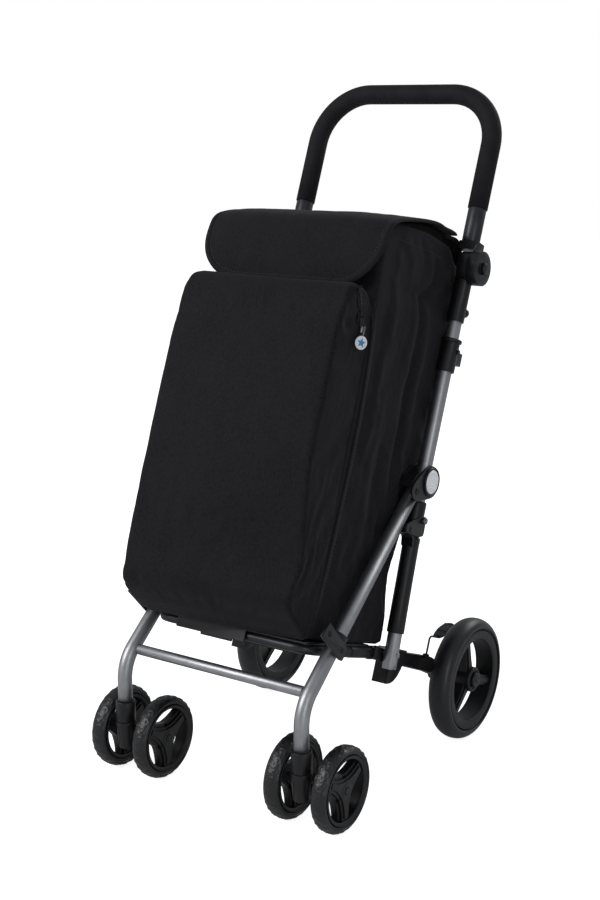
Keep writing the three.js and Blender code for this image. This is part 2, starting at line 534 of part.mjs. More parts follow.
for (const [name, side] of SIDES) {
  const x = side * TUBE_X;
  const { s, n } = HANDLE_PIVOT;
  addPiece(lean, `handle_slider_${name}`, sliderGeometry(side), PLASTIC(), [x, 0, 0]);
  addPiece(lean, `height_knob_${name}`, join(
    rod(at(0, -(SLEEVE_R + GAP), 535), at(0, -SLEEVE_R - 9, 535), 3.5, 10),
    rod(at(0, -SLEEVE_R - 6, 535), at(0, -SLEEVE_R - 14, 535), 7, 12)), PLASTIC(), [x, 0, 0]);
  addPiece(lean, `hub_disc_${name}`, hubDiscGeometry(side), CHARCOAL(), [x, 0, 0]);
  addPiece(lean, `release_button_${name}`, rod(at(side * (26 + 4.2), n, s), at(side * 36, n, s), 8.5, 20),
    PLASTIC(), [x, 0, 0]);
  addPiece(lean, `handle_leg_${name}`, rod(at(0, n, COLLAR_BLOCK.top + GAP), at(0, n, GRIP.start), HANDLE_R),
    CHARCOAL(), [x, 0, 0]);
}
const gripPoints = [[-1, GRIP.start + GAP], [-1, GRIP.top], [1, GRIP.top], [1, GRIP.start + GAP]]
  .map(([side, s]) => at(side * TUBE_X, HANDLE_PIVOT.n, s));
addPiece(lean, "handle_grip", bentTube(bentPath(gripPoints, GRIP.corner), GRIP.radius, 34, 12), FOAM());

export default cart;
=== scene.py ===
import math

import bmesh
import bpy
from mathutils import Matrix, Vector, noise


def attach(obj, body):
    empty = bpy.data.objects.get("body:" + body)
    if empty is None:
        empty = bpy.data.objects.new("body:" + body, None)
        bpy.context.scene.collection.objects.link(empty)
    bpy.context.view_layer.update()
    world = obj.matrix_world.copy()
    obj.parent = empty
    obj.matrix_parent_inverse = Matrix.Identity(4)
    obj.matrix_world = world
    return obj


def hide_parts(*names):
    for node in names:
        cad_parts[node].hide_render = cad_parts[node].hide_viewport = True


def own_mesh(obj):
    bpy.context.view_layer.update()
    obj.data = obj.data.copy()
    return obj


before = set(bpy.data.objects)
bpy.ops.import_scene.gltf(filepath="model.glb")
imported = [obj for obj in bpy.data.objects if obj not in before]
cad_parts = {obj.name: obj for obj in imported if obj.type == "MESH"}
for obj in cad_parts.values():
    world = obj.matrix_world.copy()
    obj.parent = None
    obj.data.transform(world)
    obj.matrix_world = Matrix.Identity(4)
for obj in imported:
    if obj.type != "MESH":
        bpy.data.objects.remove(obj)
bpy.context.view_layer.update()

# ---------------------------------------------------------------- the lean frame, in millimetres
# The frame leans back. x is to the right, n forwards from the main tubes' axis and s up along them.
MM = 0.001
LEAN = math.radians(21.8)
FOOT = Vector((0, -45.1, 196.7))
UP = Vector((0, math.sin(LEAN), math.cos(LEAN)))
FORE = Vector((0, -math.cos(LEAN), math.sin(LEAN)))
RIGHT = Vector((1, 0, 0))
SIDES = (("left", -1), ("right", 1))
TAU = 2 * math.pi


def at(x, n, s):
    """A point of the lean frame, in metres."""
    return (FOOT + RIGHT * x + FORE * n + UP * s) * MM


# ---------------------------------------------------------------- materials
def node_tree(name):
    material = bpy.data.materials.new(name)
    material.use_nodes = True
    nodes = material.node_tree.nodes
    return material, nodes, material.node_tree.links, nodes["Principled BSDF"]


def object_coordinates(nodes, links, scale=(1, 1, 1)):
    source = nodes.new("ShaderNodeTexCoord")
    mapping = nodes.new("ShaderNodeMapping")
    mapping.inputs["Scale"].default_value = scale
    links.new(source.outputs["Object"], mapping.inputs["Vector"])
    return mapping.outputs["Vector"]


def noise_value(nodes, links, vector, scale, detail=3.0, roughness=0.55):
    texture = nodes.new("ShaderNodeTexNoise")
    texture.inputs["Scale"].default_value = scale
    texture.inputs["Detail"].default_value = detail
    texture.inputs["Roughness"].default_value = roughness
    links.new(vector, texture.inputs["Vector"])
    return texture.outputs["Fac"]


def colour_between(nodes, links, factor, dark, light, low=0.3, high=0.7):
    ramp = nodes.new("ShaderNodeValToRGB")
    ramp.color_ramp.elements[0].position = low
    ramp.color_ramp.elements[1].position = high
    ramp.color_ramp.elements[0].color = (*dark, 1)
    ramp.color_ramp.elements[1].color = (*light, 1)
    links.new(factor, ramp.inputs["Fac"])
    return ramp.outputs["Color"]


def range_between(nodes, links, factor, low, high):
    spread = nodes.new("ShaderNodeMapRange")
    spread.inputs["To Min"].default_value = low
    spread.inputs["To Max"].default_value = high
    links.new(factor, spread.inputs["Value"])
    return spread.outputs["Result"]


def add_bump(nodes, links, height, bsdf, distance, strength=1.0, below=None):
    bump = nodes.new("ShaderNodeBump")
    bump.inputs["Strength"].default_value = strength
    bump.inputs["Distance"].default_value = distance
    links.new(height, bump.inputs["Height"])
    if below is not None:
        links.new(below, bump.inputs["Normal"])
    links.new(bump.outputs["Normal"], bsdf.inputs["Normal"])
    return bump.outputs["Normal"]


def math_node(nodes, links, operation, *inputs):
    """A Math node; each input is a plain number or a socket to link."""
    node = nodes.new("ShaderNodeMath")
    node.operation = operation
    for socket, value in zip(node.inputs, inputs):
        if isinstance(value, float):
            socket.default_value = value
        else:
            links.new(value, socket)
    return node.outputs["Value"]


def metal(name, dark, light, roughness, metallic=1.0):
    """Satin tube: faint drawing lines along it and a slightly uneven gloss."""
    material, nodes, links, bsdf = node_tree(name)
    vector = object_coordinates(nodes, links)
    cloud = noise_value(nodes, links, vector, 60.0)
    links.new(colour_between(nodes, links, cloud, dark, light), bsdf.inputs["Base Color"])
    lines = noise_value(nodes, links, object_coordinates(nodes, links, (1400, 90, 90)), 1.0, 2.0)
    links.new(range_between(nodes, links, lines, roughness - 0.05, roughness + 0.07),
              bsdf.inputs["Roughness"])
    add_bump(nodes, links, lines, bsdf, 0.00001, 0.3)
    bsdf.inputs["Metallic"].default_value = metallic
    return material


def moulding(name, dark, light, roughness, grain=900.0, depth=0.00008, coat=0.0):
    """Moulded plastic or rubber: spark-eroded grain, faint mottling, wear in the gloss."""
    material, nodes, links, bsdf = node_tree(name)
    vector = object_coordinates(nodes, links)
    cloud = noise_value(nodes, links, vector, 35.0)
    links.new(colour_between(nodes, links, cloud, dark, light), bsdf.inputs["Base Color"])
    rub = noise_value(nodes, links, vector, 110.0, 4.0)
    links.new(range_between(nodes, links, rub, roughness - 0.06, roughness + 0.08), bsdf.inputs["Roughness"])
    grains = noise_value(nodes, links, vector, grain, 2.0)
    add_bump(nodes, links, grains, bsdf, depth, 0.8)
    bsdf.inputs["Coat Weight"].default_value = coat
    bsdf.inputs["Coat Roughness"].default_value = 0.25
    return material


def twill(name, dark, light, period=0.0022, depth=0.00012, sheen=0.03):
    """Woven polyester: diagonal ribs, a finer cross thread, uneven yarn and soft shade variation."""
    material, nodes, links, bsdf = node_tree(name)
    vector = object_coordinates(nodes, links)

    def ribs(direction, wave):
        along = nodes.new("ShaderNodeVectorMath")
        along.operation = "DOT_PRODUCT"
        along.inputs[1].default_value = direction
        links.new(vector, along.inputs[0])
        turns = math_node(nodes, links, "MULTIPLY", along.outputs["Value"], TAU / wave)
        return math_node(nodes, links, "SINE", turns)

    rib = ribs((0.707, -0.6, 0.707), period)
    thread = ribs((-0.707, 0.6, 0.707), period * 0.45)
    weave = math_node(nodes, links, "MULTIPLY_ADD", thread, 0.35, rib)
    fuzz = noise_value(nodes, links, vector, 650.0, 3.0)
    shade = math_node(nodes, links, "MULTIPLY_ADD", noise_value(nodes, links, vector, 14.0, 4.0), 0.36, 0.32)
    mixed = math_node(nodes, links, "MULTIPLY_ADD", weave, 0.11, shade)
    yarn = math_node(nodes, links, "MULTIPLY_ADD", noise_value(nodes, links, vector, 310.0, 2.0), 0.9, mixed)
    links.new(colour_between(nodes, links, yarn, dark, light, 0.74, 1.16), bsdf.inputs["Base Color"])
    soft = add_bump(nodes, links, fuzz, bsdf, 0.00015, 0.5)
    add_bump(nodes, links, weave, bsdf, depth, 0.6, below=soft)
    bsdf.inputs["Roughness"].default_value = 0.82
    bsdf.inputs["Sheen Weight"].default_value = sheen
    bsdf.inputs["Sheen Roughness"].default_value = 0.45
    return material


SILVER = metal("silver_satin", (0.33, 0.335, 0.35), (0.39, 0.395, 0.41), 0.42)
CHARCOAL = metal("charcoal_satin", (0.030, 0.030, 0.034), (0.044, 0.044, 0.049), 0.38, 0.7)
STEEL = metal("bolt_steel", (0.16, 0.165, 0.17), (0.28, 0.285, 0.29), 0.35)
PLASTIC = moulding("black_plastic", (0.0032, 0.0032, 0.0040), (0.0058, 0.0058, 0.0068), 0.40)
REFLECTOR = moulding("reflector_lens", (0.80, 0.81, 0.83), (0.92, 0.93, 0.95), 0.16,
                     grain=420.0, depth=0.0003, coat=0.6)
RUBBER = moulding("tyre_rubber", (0.0050, 0.0050, 0.0060), (0.0088, 0.0088, 0.0100), 0.37,
                  grain=500.0, depth=0.00005)
FOAM = moulding("grip_foam", (0.0072, 0.0072, 0.0084), (0.0120, 0.0120, 0.0136), 0.75,
                grain=1500.0, depth=0.0003)
TWILL = twill("bag_twill", (0.0018, 0.0017, 0.0026), (0.0082, 0.0078, 0.0104))
LINING = moulding("bag_lining", (0.0020, 0.0020, 0.0024), (0.0032, 0.0032, 0.0038), 0.7)
BINDING = twill("bag_binding", (0.0034, 0.0034, 0.0044), (0.0078, 0.0078, 0.0095),
                period=0.0014, depth=0.00008, sheen=0.04)
THREAD = moulding("sewing_thread", (0.009, 0.009, 0.011), (0.014, 0.014, 0.017), 0.6)
WHITE_ENAMEL = moulding("badge_white", (0.72, 0.73, 0.74), (0.80, 0.81, 0.82), 0.3,
                        grain=200.0, depth=0.00002)
BLUE_ENAMEL = moulding("badge_blue", (0.03, 0.20, 0.50), (0.05, 0.26, 0.58), 0.3,
                       grain=200.0, depth=0.00002)
for material, specular in ((TWILL, 0.2), (BINDING, 0.2), (LINING, 0.15), (FOAM, 0.2), (PLASTIC, 0.4),
                           (RUBBER, 0.5)):
    material.node_tree.nodes["Principled BSDF"].inputs["Specular IOR Level"].default_value = specular


# ---------------------------------------------------------------- mesh makers
def piece(name, vertices, faces, material, body, replaces=(), slot=None, smooth=True):
    mesh = bpy.data.meshes.new(name)
    mesh.from_pydata([tuple(v) for v in vertices], [], faces)
    mesh.validate()
    mesh.materials.append(material)
    for polygon in mesh.polygons:
        polygon.use_smooth = smooth
    thing = bpy.data.objects.new(name, mesh)
    bpy.context.scene.collection.objects.link(thing)
    if body:
        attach(thing, body)
    if replaces:
        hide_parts(*replaces)
    return thing


def add_bevel(thing, width, segments=2, angle=32):
    bevel = thing.modifiers.new("edges", "BEVEL")
    bevel.width = width * MM
    bevel.segments = segments
    bevel.limit_method = "ANGLE"
    bevel.angle_limit = math.radians(angle)
    bevel.harden_normals = True
    return thing


def ring_mesh(rings, closed_ends=True, loop=False):
    """Faces over equal rings of points; the ends are capped with a fan to their middle."""
    vertices = [v for ring in rings for v in ring]
    count = len(rings[0])
    faces = []
    last = len(rings) if loop else len(rings) - 1
    for r in range(last):
        a = r * count
        b = ((r + 1) % len(rings)) * count
        faces += [(a + i, a + (i + 1) % count, b + (i + 1) % count, b + i) for i in range(count)]
    if closed_ends and not loop:
        for base, flip in ((0, True), ((len(rings) - 1) * count, False)):
            middle = sum((Vector(v) for v in vertices[base:base + count]), Vector()) / count
            hub = len(vertices)
            vertices.append(middle)
            for i in range(count):
                a, b = base + i, base + (i + 1) % count
                faces.append((b, a, hub) if flip else (a, b, hub))
    return vertices, faces


def sweep(points, radius, sides=32, flatten=(1.0, 1.0)):
    """A round bar along points; radius is a number or a function of the length fraction."""
    tangents = []
    for i in range(len(points)):
        before, after = points[max(0, i - 1)], points[min(len(points) - 1, i + 1)]
        tangents.append((after - before).normalized())
    normal = tangents[0].cross(RIGHT)
    if normal.length < 0.2:
        normal = tangents[0].cross(Vector((0, 0, 1)))
    normal.normalize()
    rings = []
    for i, (point, tangent) in enumerate(zip(points, tangents)):
        normal = (normal - tangent * normal.dot(tangent)).normalized()
        side = tangent.cross(normal)
        size = radius(i / (len(points) - 1)) if callable(radius) else radius
        rings.append([point + (normal * math.cos(a) * flatten[0] + side * math.sin(a) * flatten[1]) * size * MM
                      for a in (TAU * k / sides for k in range(sides))])
    return ring_mesh(rings)


def bent(points, radius, step=3.0):
    """Straight runs joined by arcs of one bend radius, as points in metres."""
    radius *= MM
    route = [points[0]]
    for before, corner, after in zip(points, points[1:], points[2:]):
        to_before = (before - corner).normalized()
        to_after = (after - corner).normalized()
        half = to_before.angle(to_after) / 2
        trim = radius / math.tan(half)
        start = corner + to_before * trim
        center = corner + (to_before + to_after).normalized() * radius / math.sin(half)
        spoke = start - center
        axis = spoke.cross(corner + to_after * trim - center).normalized()
        sweep_angle = math.pi - 2 * half
        count = max(3, int(sweep_angle * radius / (step * MM)))
        route += [center + Matrix.Rotation(sweep_angle * k / count, 3, axis) @ spoke for k in range(count + 1)]
    route.append(points[-1])
    return route


def rounded_rod(start, end, radius, edge=0.8, sides=40):
    """A round bar with softened ends."""
    length = (end - start).length / MM
    stops = [0, edge * 0.3, edge, length - edge, length - edge * 0.3, length]
    sizes = [radius - edge, radius - edge * 0.3, radius, radius, radius - edge * 0.3, radius - edge]
    points = [start.lerp(end, stop / length) for stop in stops]
    return sweep(points, lambda f: sizes[round(f * 5)], sides)


def lathe(profile, center, axis=RIGHT, segments=96, wobble=None):
    """profile is a list of (radius, height along axis) in mm; it closes on itself."""
    across = axis.cross(Vector((0, 0, 1)))
    if across.length < 0.1:
        across = Vector((0, 1, 0))
    across.normalize()
    upward = across.cross(axis)
    rings = []
    for k in range(segments):
        angle = TAU * k / segments
        spoke = across * math.cos(angle) + upward * math.sin(angle)
        rings.append([center + (spoke * (r + (wobble(angle, r, h) if wobble else 0.0)) + axis * h) * MM
                      for r, h in profile])
    return ring_mesh(rings, closed_ends=False, loop=True)


def plate(outline, x0, x1, to_world):
    """A flat slab: outline is a list of (u, v) in mm, thick from x0 to x1; to_world maps (x, u, v)."""
    count = len(outline)
    vertices = [to_world(x, u, v) for x in (x0, x1) for u, v in outline]
    faces = [tuple(reversed(range(count))), tuple(range(count, 2 * count))]
    faces += [(i, (i + 1) % count, count + (i + 1) % count, count + i) for i in range(count)]
    return vertices, faces


def merged(*parts):
    vertices, faces = [], []
    for part_vertices, part_faces in parts:
        base = len(vertices)
        vertices += list(part_vertices)
        faces += [tuple(base + i for i in face) for face in part_faces]
    return vertices, faces


def fix_normals(thing):
    work = bmesh.new()
    work.from_mesh(thing.data)
    bmesh.ops.recalc_face_normals(work, faces=work.faces)
    work.to_mesh(thing.data)
    work.free()
    return thing


def solid(name, parts, material, body, node=None, slot="black_plastic", bevel=None, smooth=True):
    """A piece of several parts, its faces turned outward; node is the CAD node it stands in for."""
    thing = fix_normals(piece(name, *merged(*parts), material, body, [node] if node else (), slot, smooth))
    if bevel:
        add_bevel(thing, bevel)
    return thing


def dress(node, material, bevel=0.7):
    """A CAD node that stays: its own material, softened edges and smooth round faces."""
    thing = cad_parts[node]
    thing.data.materials.clear()
    thing.data.materials.append(material)
    for polygon in thing.data.polygons:
        polygon.use_smooth = True
        polygon.material_index = 0
    weld = thing.modifiers.new("weld", "WELD")
    weld.merge_threshold = 0.00002
    add_bevel(thing, bevel)
    return thing


# ---------------------------------------------------------------- main tubes and knee sockets
TUBE_X = 160
TUBE_R = 11


def round_bar(name, start, end, radius, material, node, slot, body="main_frame", edge=0.8):
    return solid(name, [rounded_rod(start, end, radius, edge)], material, body, node, slot)


for side_name, side in SIDES:
    x = side * TUBE_X
    round_bar(f"main_bar_{side_name}", at(x, 0, 186), at(x, 0, 562), TUBE_R, SILVER,
              f"main_tube_{side_name}", "silver_tube")
round_bar("back_brace", at(-156.5, -25, 462), at(156.5, -25, 462), 6, CHARCOAL, "back_bar", "charcoal_tube")


def curve_between(p0, p1, p2, p3, f):
    """The point at fraction f from p1 to p2, on a smooth curve through all four."""
    return tuple(0.5 * (2 * b + (c - a) * f + (2 * a - 5 * b + 4 * c - d) * f * f
                        + (3 * b - a - 3 * c + d) * f ** 3)
                 for a, b, c, d in zip(p0, p1, p2, p3))


def closed_curve(points, steps):
    """A smooth closed outline through the given points."""
    result = []
    for i in range(len(points)):
        near = [points[(i + k) % len(points)] for k in (-1, 0, 1, 2)]
        result += [curve_between(*near, k / steps) for k in range(steps)]
    return result


def lean_plate(outline, x0, x1):
    """A slab across the trolley; its outline is in the lean frame's n and s."""
    return plate(outline, x0, x1, at)


KNEE_PLATE = closed_curve([(45, 189), (43, 194), (33, 200), (15, 207), (4, 211), (-9.5, 212), (-11, 198),
                           (-11, 186), (-4, 181.8), (11, 181.2), (26, 181.4), (38, 182.4), (43.5, 184.6)], 5)
KNEE_SOCKET = [(0.02, 180), (12.8, 180), (14, 181.4), (14, 231), (13.2, 234), (11.3, 234), (11.3, 185.7),
               (0.02, 185.7)]
for side_name, side in SIDES:
    x = side * TUBE_X
    dress(f"bag_hook_{side_name}", PLASTIC, 0.8)
    socket = lathe(KNEE_SOCKET, at(x, 0, 0), UP, 64)
    cheeks = [lean_plate(KNEE_PLATE, x + hand * 11.9, x + hand * 15.2) for hand in (-1, 1)]
    heads = [rounded_rod(at(x + hand * 15, 29, 188), at(x + hand * 16.4, 29, 188), 4.6, 0.6)
             for hand in (-1, 1)]
    knobs = [rounded_rod(at(x + side * 8, -10, 205), at(x + side * 9, -21, 205), 2.7, 1.0, 24),
             rounded_rod(at(x + side * 6, -9, 216), at(x + side * 6, -15.5, 216), 2.2, 0.8, 24)]
    solid(f"knee_socket_{side_name}", [socket, *cheeks, *heads, *knobs], PLASTIC, "main_frame",
          f"knee_bracket_{side_name}", bevel=0.6)

# ---------------------------------------------------------------- camera, light and floor
camera_data = bpy.data.cameras.new("camera")
camera_data.lens = 59.46
camera_data.sensor_width = 36.0
camera = bpy.data.objects.new("camera", camera_data)
camera.location = (1.2363, -1.8541, 0.9923)
camera.rotation_euler = (math.radians(77.07), 0.0, math.radians(34.27))
bpy.context.scene.collection.objects.link(camera)
bpy.context.scene.camera = camera
bpy.context.scene.view_settings.view_transform = "Standard"


def area_light(name, place, target, size, energy):
    data = bpy.data.lights.new(name, "AREA")
    data.shape = "RECTANGLE"
    data.size, data.size_y = size
    data.energy = energy
    light = bpy.data.objects.new(name, data)
    light.location = place
    light.rotation_euler = (Vector(target) - Vector(place)).to_track_quat("-Z", "Y").to_euler()
    bpy.context.scene.collection.objects.link(light)


area_light("key", (-1.6, -2.4, 2.3), (0, 0, 0.45), (1.6, 2.0), 62)
area_light("strip", (2.4, -1.9, 1.3), (0, 0, 0.5), (0.35, 2.2), 13)
area_light("rim", (0.6, 2.4, 1.9), (0, 0, 0.5), (1.8, 1.0), 20)

world = bpy.data.worlds.new("studio")
world.use_nodes = True
bpy.context.scene.world = world
world_nodes, world_links = world.node_tree.nodes, world.node_tree.links
backdrop = world_nodes.new("ShaderNodeBackground")
backdrop.inputs["Color"].default_value = (1, 1, 1, 1)
backdrop.inputs["Strength"].default_value = 1.0
soft = world_nodes["Background"]
soft.inputs["Color"].default_value = (0.92, 0.95, 1.0, 1)
soft.inputs["Strength"].default_value = 0.4
seen = world_nodes.new("ShaderNodeLightPath")
choose = world_nodes.new("ShaderNodeMixShader")
world_links.new(seen.outputs["Is Camera Ray"], choose.inputs["Fac"])
world_links.new(soft.outputs["Background"], choose.inputs[1])
world_links.new(backdrop.outputs["Background"], choose.inputs[2])
world_links.new(choose.outputs["Shader"], world_nodes["World Output"].inputs["Surface"])

floor_material, floor_nodes, floor_links, floor_bsdf = node_tree("pale_floor")
floor_bsdf.inputs["Base Color"].default_value = (0.72, 0.72, 0.72, 1)
floor_bsdf.inputs["Roughness"].default_value = 1.0
floor_bsdf.inputs["Specular IOR Level"].default_value = 0.0
floor_bsdf.inputs["Emission Color"].default_value = (1, 1, 1, 1)
floor_seen = floor_nodes.new("ShaderNodeLightPath")
floor_glow = math_node(floor_nodes, floor_links, "MULTIPLY", floor_seen.outputs["Is Camera Ray"], 0.85)
floor_links.new(floor_glow, floor_bsdf.inputs["Emission Strength"])
floor_corners = [(-9, -9, 0), (9, -9, 0), (9, 9, 0), (-9, 9, 0)]
floor = piece("floor", floor_corners, [(0, 1, 2, 3)], floor_material, None)

# ---------------------------------------------------------------- front legs
CASTER_Y = -270.9
LEG_DIRECTION = Vector((0, -0.7705, -0.6374))
LEG_SCREW = at(0, 23.5, 242)
LEG_BEND_Z = 187 * MM
REFLECTOR_S = 266
LEG_PLATE = closed_curve([(0, 290), (-14, 286.5), (-24, 276), (-26, 262), (-20, 249), (-8, 241.5), (11, 236),
                          (29, 231), (43, 234), (51, 243), (47.4, 255.5), (36, 268.7), (21.3, 282),
                          (10, 287.7)], 6)
BEZEL = [(0.02, 13), (21, 13), (22.5, 14), (22.5, 17.6), (21.4, 18.8), (19.8, 18.8), (18.4, 17.4), (0.02, 17)]
RIVET = [(0.02, 14.8), (5.2, 14.8), (5.2, 16.4), (4.4, 16.9), (3.2, 16.4), (2.6, 15.4), (0.02, 15.6)]
STRAP = [(43, 251), (48, 249), (49, 259), (44, 266), (38, 270), (36, 266), (41, 261)]
LENS = [(0.02, 17.1), (18.0, 17.1), (18.2, 17.9), (17.2, 18.8), (0.02, 19.2)]


def leg_point(along):
    return LEG_SCREW + LEG_DIRECTION * along * MM


def lens_facets(x, side):
    """Staggered rows of low six-sided pyramids over the reflector's face."""
    facets = []
    turns = [math.radians(30 + 60 * k) for k in range(6)]
    faces = [(k, (k + 1) % 6, 6) for k in range(6)] + [(5, 4, 3, 2, 1, 0)]
    for row in range(-4, 5):
        for column in range(-5, 6):
            n = column * 3.6 + (1.8 if row % 2 else 0)
            s = row * 3.15
            if math.hypot(n, s) < 14.6:
                rim = [at(x + side * 19.0, n + 1.75 * math.cos(turn), REFLECTOR_S + s + 1.75 * math.sin(turn))
                       for turn in turns]
                facets.append((rim + [at(x + side * 20.0, n, REFLECTOR_S + s)], faces))
    return facets


leg_corner = leg_point((LEG_SCREW.z - LEG_BEND_Z) / -LEG_DIRECTION.z / MM)
leg_corner.y = CASTER_Y * MM
for side_name, side in SIDES:
    x = side * TUBE_X
    shift = RIGHT * x * MM
    route = bent([leg_point(-3) + shift, leg_corner + shift, Vector((0, CASTER_Y, 99.3)) * MM + shift], 60)
    solid(f"leg_bar_{side_name}", [sweep(route, TUBE_R, 40)], SILVER, "front_legs",
          f"leg_tube_{side_name}", "silver_tube")
    cheeks = [lean_plate(LEG_PLATE, x + hand * 11.8, x + hand * 15.4) for hand in (-1, 1)]
    bezel = lathe(BEZEL, at(x, 0, REFLECTOR_S), RIGHT * side, 96)
    rivet = lathe(RIVET, at(x, 35.4, 245), RIGHT * side, 40)
    strap = lean_plate(STRAP, x - 12.5, x + 12.5)
    solid(f"leg_hinge_{side_name}", [*cheeks, bezel, rivet, strap], PLASTIC, "front_legs",
          f"leg_bracket_{side_name}", bevel=0.7)
    lens = lathe(LENS, at(x, 0, REFLECTOR_S), RIGHT * side, 72)
    solid(f"reflector_lens_{side_name}", [lens, *lens_facets(x, side)], REFLECTOR, "front_legs",
          f"reflector_{side_name}", "reflector", smooth=False)
    dress(f"leg_clip_{side_name}", PLASTIC, 0.6)
    dress(f"caster_socket_{side_name}", PLASTIC, 0.8)
round_bar("leg_cross", Vector((-148.7, -249, 202)) * MM, Vector((148.7, -249, 202)) * MM, 8, SILVER,
          "leg_crossbar", "silver_tube", "front_legs")

# ---------------------------------------------------------------- wheels
FRONT = {"radius": 63, "half": 12.5, "bead": 51, "lip": 45.0, "hub": 13, "bore": 5.6, "y": -232.4,
         "offset": 40}
REAR = {"radius": 98, "half": 18.5, "bead": 81, "lip": 66, "hub": 20, "bore": 6.6, "y": 159.1, "x": 187}
TREAD_BLOCKS = 26
TREAD_FROM = 58


def tread_pattern(angle, radius, height):
    """Raised dots and curved ribs in two staggered rows round the front tyre, as mm added to its radius."""
    if radius < TREAD_FROM:
        return 0.0
    turn = angle / TAU * TREAD_BLOCKS
    row = 1 if height > 0 else 0
    phase = (turn + 0.5 * row) % 1.0 - 0.5
    reach = math.hypot(phase * 15.2, abs(height) - 4.6)
    dot = max(0.0, 1.0 - (reach / 2.2) ** 2)
    rib = max(0.0, 1.0 - ((reach - 5.2) / 1.2) ** 2) if phase > -0.2 else 0.0
    return 0.95 * max(dot, rib) - 0.68


def tyre_profile(wheel, crown):
    """Half-round tread, soft shoulders, a moulded ring on each side wall and a bead."""
    radius, half, bead = wheel["radius"], wheel["half"], wheel["bead"]
    points = [(bead, -half * 0.72), (bead + 1.2, -half * 0.86), (bead + 3, -half * 0.9),
              (bead + 3.6, -half * 0.86), (bead + 4.4, -half * 0.9)]
    wall = [(r, -h) for r, h in reversed(points)]
    steps = 26
    for k in range(steps + 1):
        angle = math.pi * (k / steps - 0.5)
        points.append((radius - crown + crown * math.cos(angle) ** 0.8, half * math.sin(angle)))
    return points + wall


def rim_barrel(wheel, lip_depth):
    """Deep rim ring with a raised lip on each face."""
    half, bead, lip = wheel["half"] * 0.92, wheel["bead"] - 0.4, wheel["lip"]
    slope = half - lip_depth * 0.2
    return [(bead, -half * 0.7), (bead, -half), (bead - 2, -half - 0.4), (lip + 1.5, -slope),
            (lip, -half + 1.4), (lip + 1.2, 0), (lip, half - 1.4), (lip + 1.5, slope),
            (bead - 2, half + 0.4), (bead, half), (bead, half * 0.7)]


def spoke_slab(center, angle, inner, outer, base_half, tip_half, x0, x1, waist=0.0, flare=1.0):
    """One spoke: a slab in the wheel's plane, hub to rim. A flare above 1 widens it in a curve at the hub."""
    direction = Vector((0, math.cos(angle), math.sin(angle)))
    across = Vector((0, -math.sin(angle), math.cos(angle)))
    outline = []
    steps = 12
    for k in range(steps + 1):
        f = k / steps
        half = tip_half + (base_half - tip_half) * (1 - f) ** flare - waist * math.sin(math.pi * f)
        outline.append((inner + (outer - inner) * f, half))
    outline += [(u, -v) for u, v in reversed(outline)]
    return plate(outline, x0, x1, lambda x, u, v: center + (direction * u + across * v + RIGHT * x) * MM)


def front_wheel(side_name, side, place, sign):
    body = f"front_wheel_{side_name}_{place}"
    center = Vector((side * TUBE_X + sign * FRONT["offset"], FRONT["y"], FRONT["radius"])) * MM
    tyre = lathe(tyre_profile(FRONT, 7.5), center, segments=240, wobble=tread_pattern)
    solid(f"front_tread_{side_name}_{place}", [tyre], RUBBER, body,
          f"front_tyre_{side_name}_{place}", "tyre_rubber")
    bore, hub, lip = FRONT["bore"], FRONT["hub"], FRONT["lip"]
    parts = [lathe(rim_barrel(FRONT, 2), center, segments=96),
             lathe([(bore, -11), (hub, -11), (hub, 10), (hub - 2, 11), (bore, 11)], center, segments=48)]
    for k in range(3):
        angle = math.radians(30 + 120 * k)
        parts += [spoke_slab(center, angle, 7, lip + 1, 22, 13.5, -7, 5, flare=2.2),
                  spoke_slab(center, angle, 6, lip + 0.6, 17.5, 8.6, 4, 8.2, flare=2.4),
                  spoke_slab(center, angle, 6, lip - 3, 13.0, 4.2, 7.6, 10.4, flare=2.4)]
    solid(f"front_spokes_{side_name}_{place}", parts, PLASTIC, body,
          f"front_rim_{side_name}_{place}", bevel=0.8)
    cap = rounded_rod(center + RIGHT * sign * 10.5 * MM, center + RIGHT * sign * 11.6 * MM, 5.0, 0.6)
    solid(f"front_axle_cap_{side_name}_{place}", [cap], PLASTIC, body)


def rear_wheel(side_name, side):
    body = f"rear_wheel_{side_name}"
    center = Vector((side * REAR["x"], REAR["y"], REAR["radius"])) * MM
    tyre = lathe(tyre_profile(REAR, 15), center, segments=160)
    solid(f"rear_tread_{side_name}", [tyre], RUBBER, body, f"rear_tyre_{side_name}", "tyre_rubber")
    bore, hub, lip = REAR["bore"], REAR["hub"], REAR["lip"]
    hub_profile = [(bore, -16), (hub, -16), (hub, 15), (hub - 2.5, 17), (15.5, 17.4), (14.4, 14.6),
                   (bore, 14.6)]
    parts = [lathe(rim_barrel(REAR, 4), center, segments=128), lathe(hub_profile, center, segments=64)]
    for k in range(3):
        angle = math.radians(100 + 120 * k)
        parts += [spoke_slab(center, angle, 15, lip + 1.5, 10.5, 8.5, -13, 9, 1.0),
                  spoke_slab(center, angle, 15, lip + 1.2, 5.5, 4.5, 8, 11.5, 0.5)]
    solid(f"rear_spokes_{side_name}", parts, PLASTIC, body, f"rear_rim_{side_name}", bevel=1.0)
    cap_profile = [(6.6, 14.8), (12.4, 14.8), (12.4, 20.2), (11.2, 21.2), (3, 21.6), (3, 20.6), (6.6, 20.4)]
    solid(f"rear_cap_{side_name}", [lathe(cap_profile, center, RIGHT * side, 48)], PLASTIC, body)
    button = rounded_rod(center + RIGHT * side * 20.7 * MM, center + RIGHT * side * 22.0 * MM, 4.4, 0.5)
    solid(f"rear_cap_button_{side_name}", [button], PLASTIC, body)


for side_name, side in SIDES:
    for place, sign in (("inner", -side), ("outer", side)):
        front_wheel(side_name, side, place, sign)
    rear_wheel(side_name, side)
    dress(f"caster_fork_{side_name}", PLASTIC, 0.9)

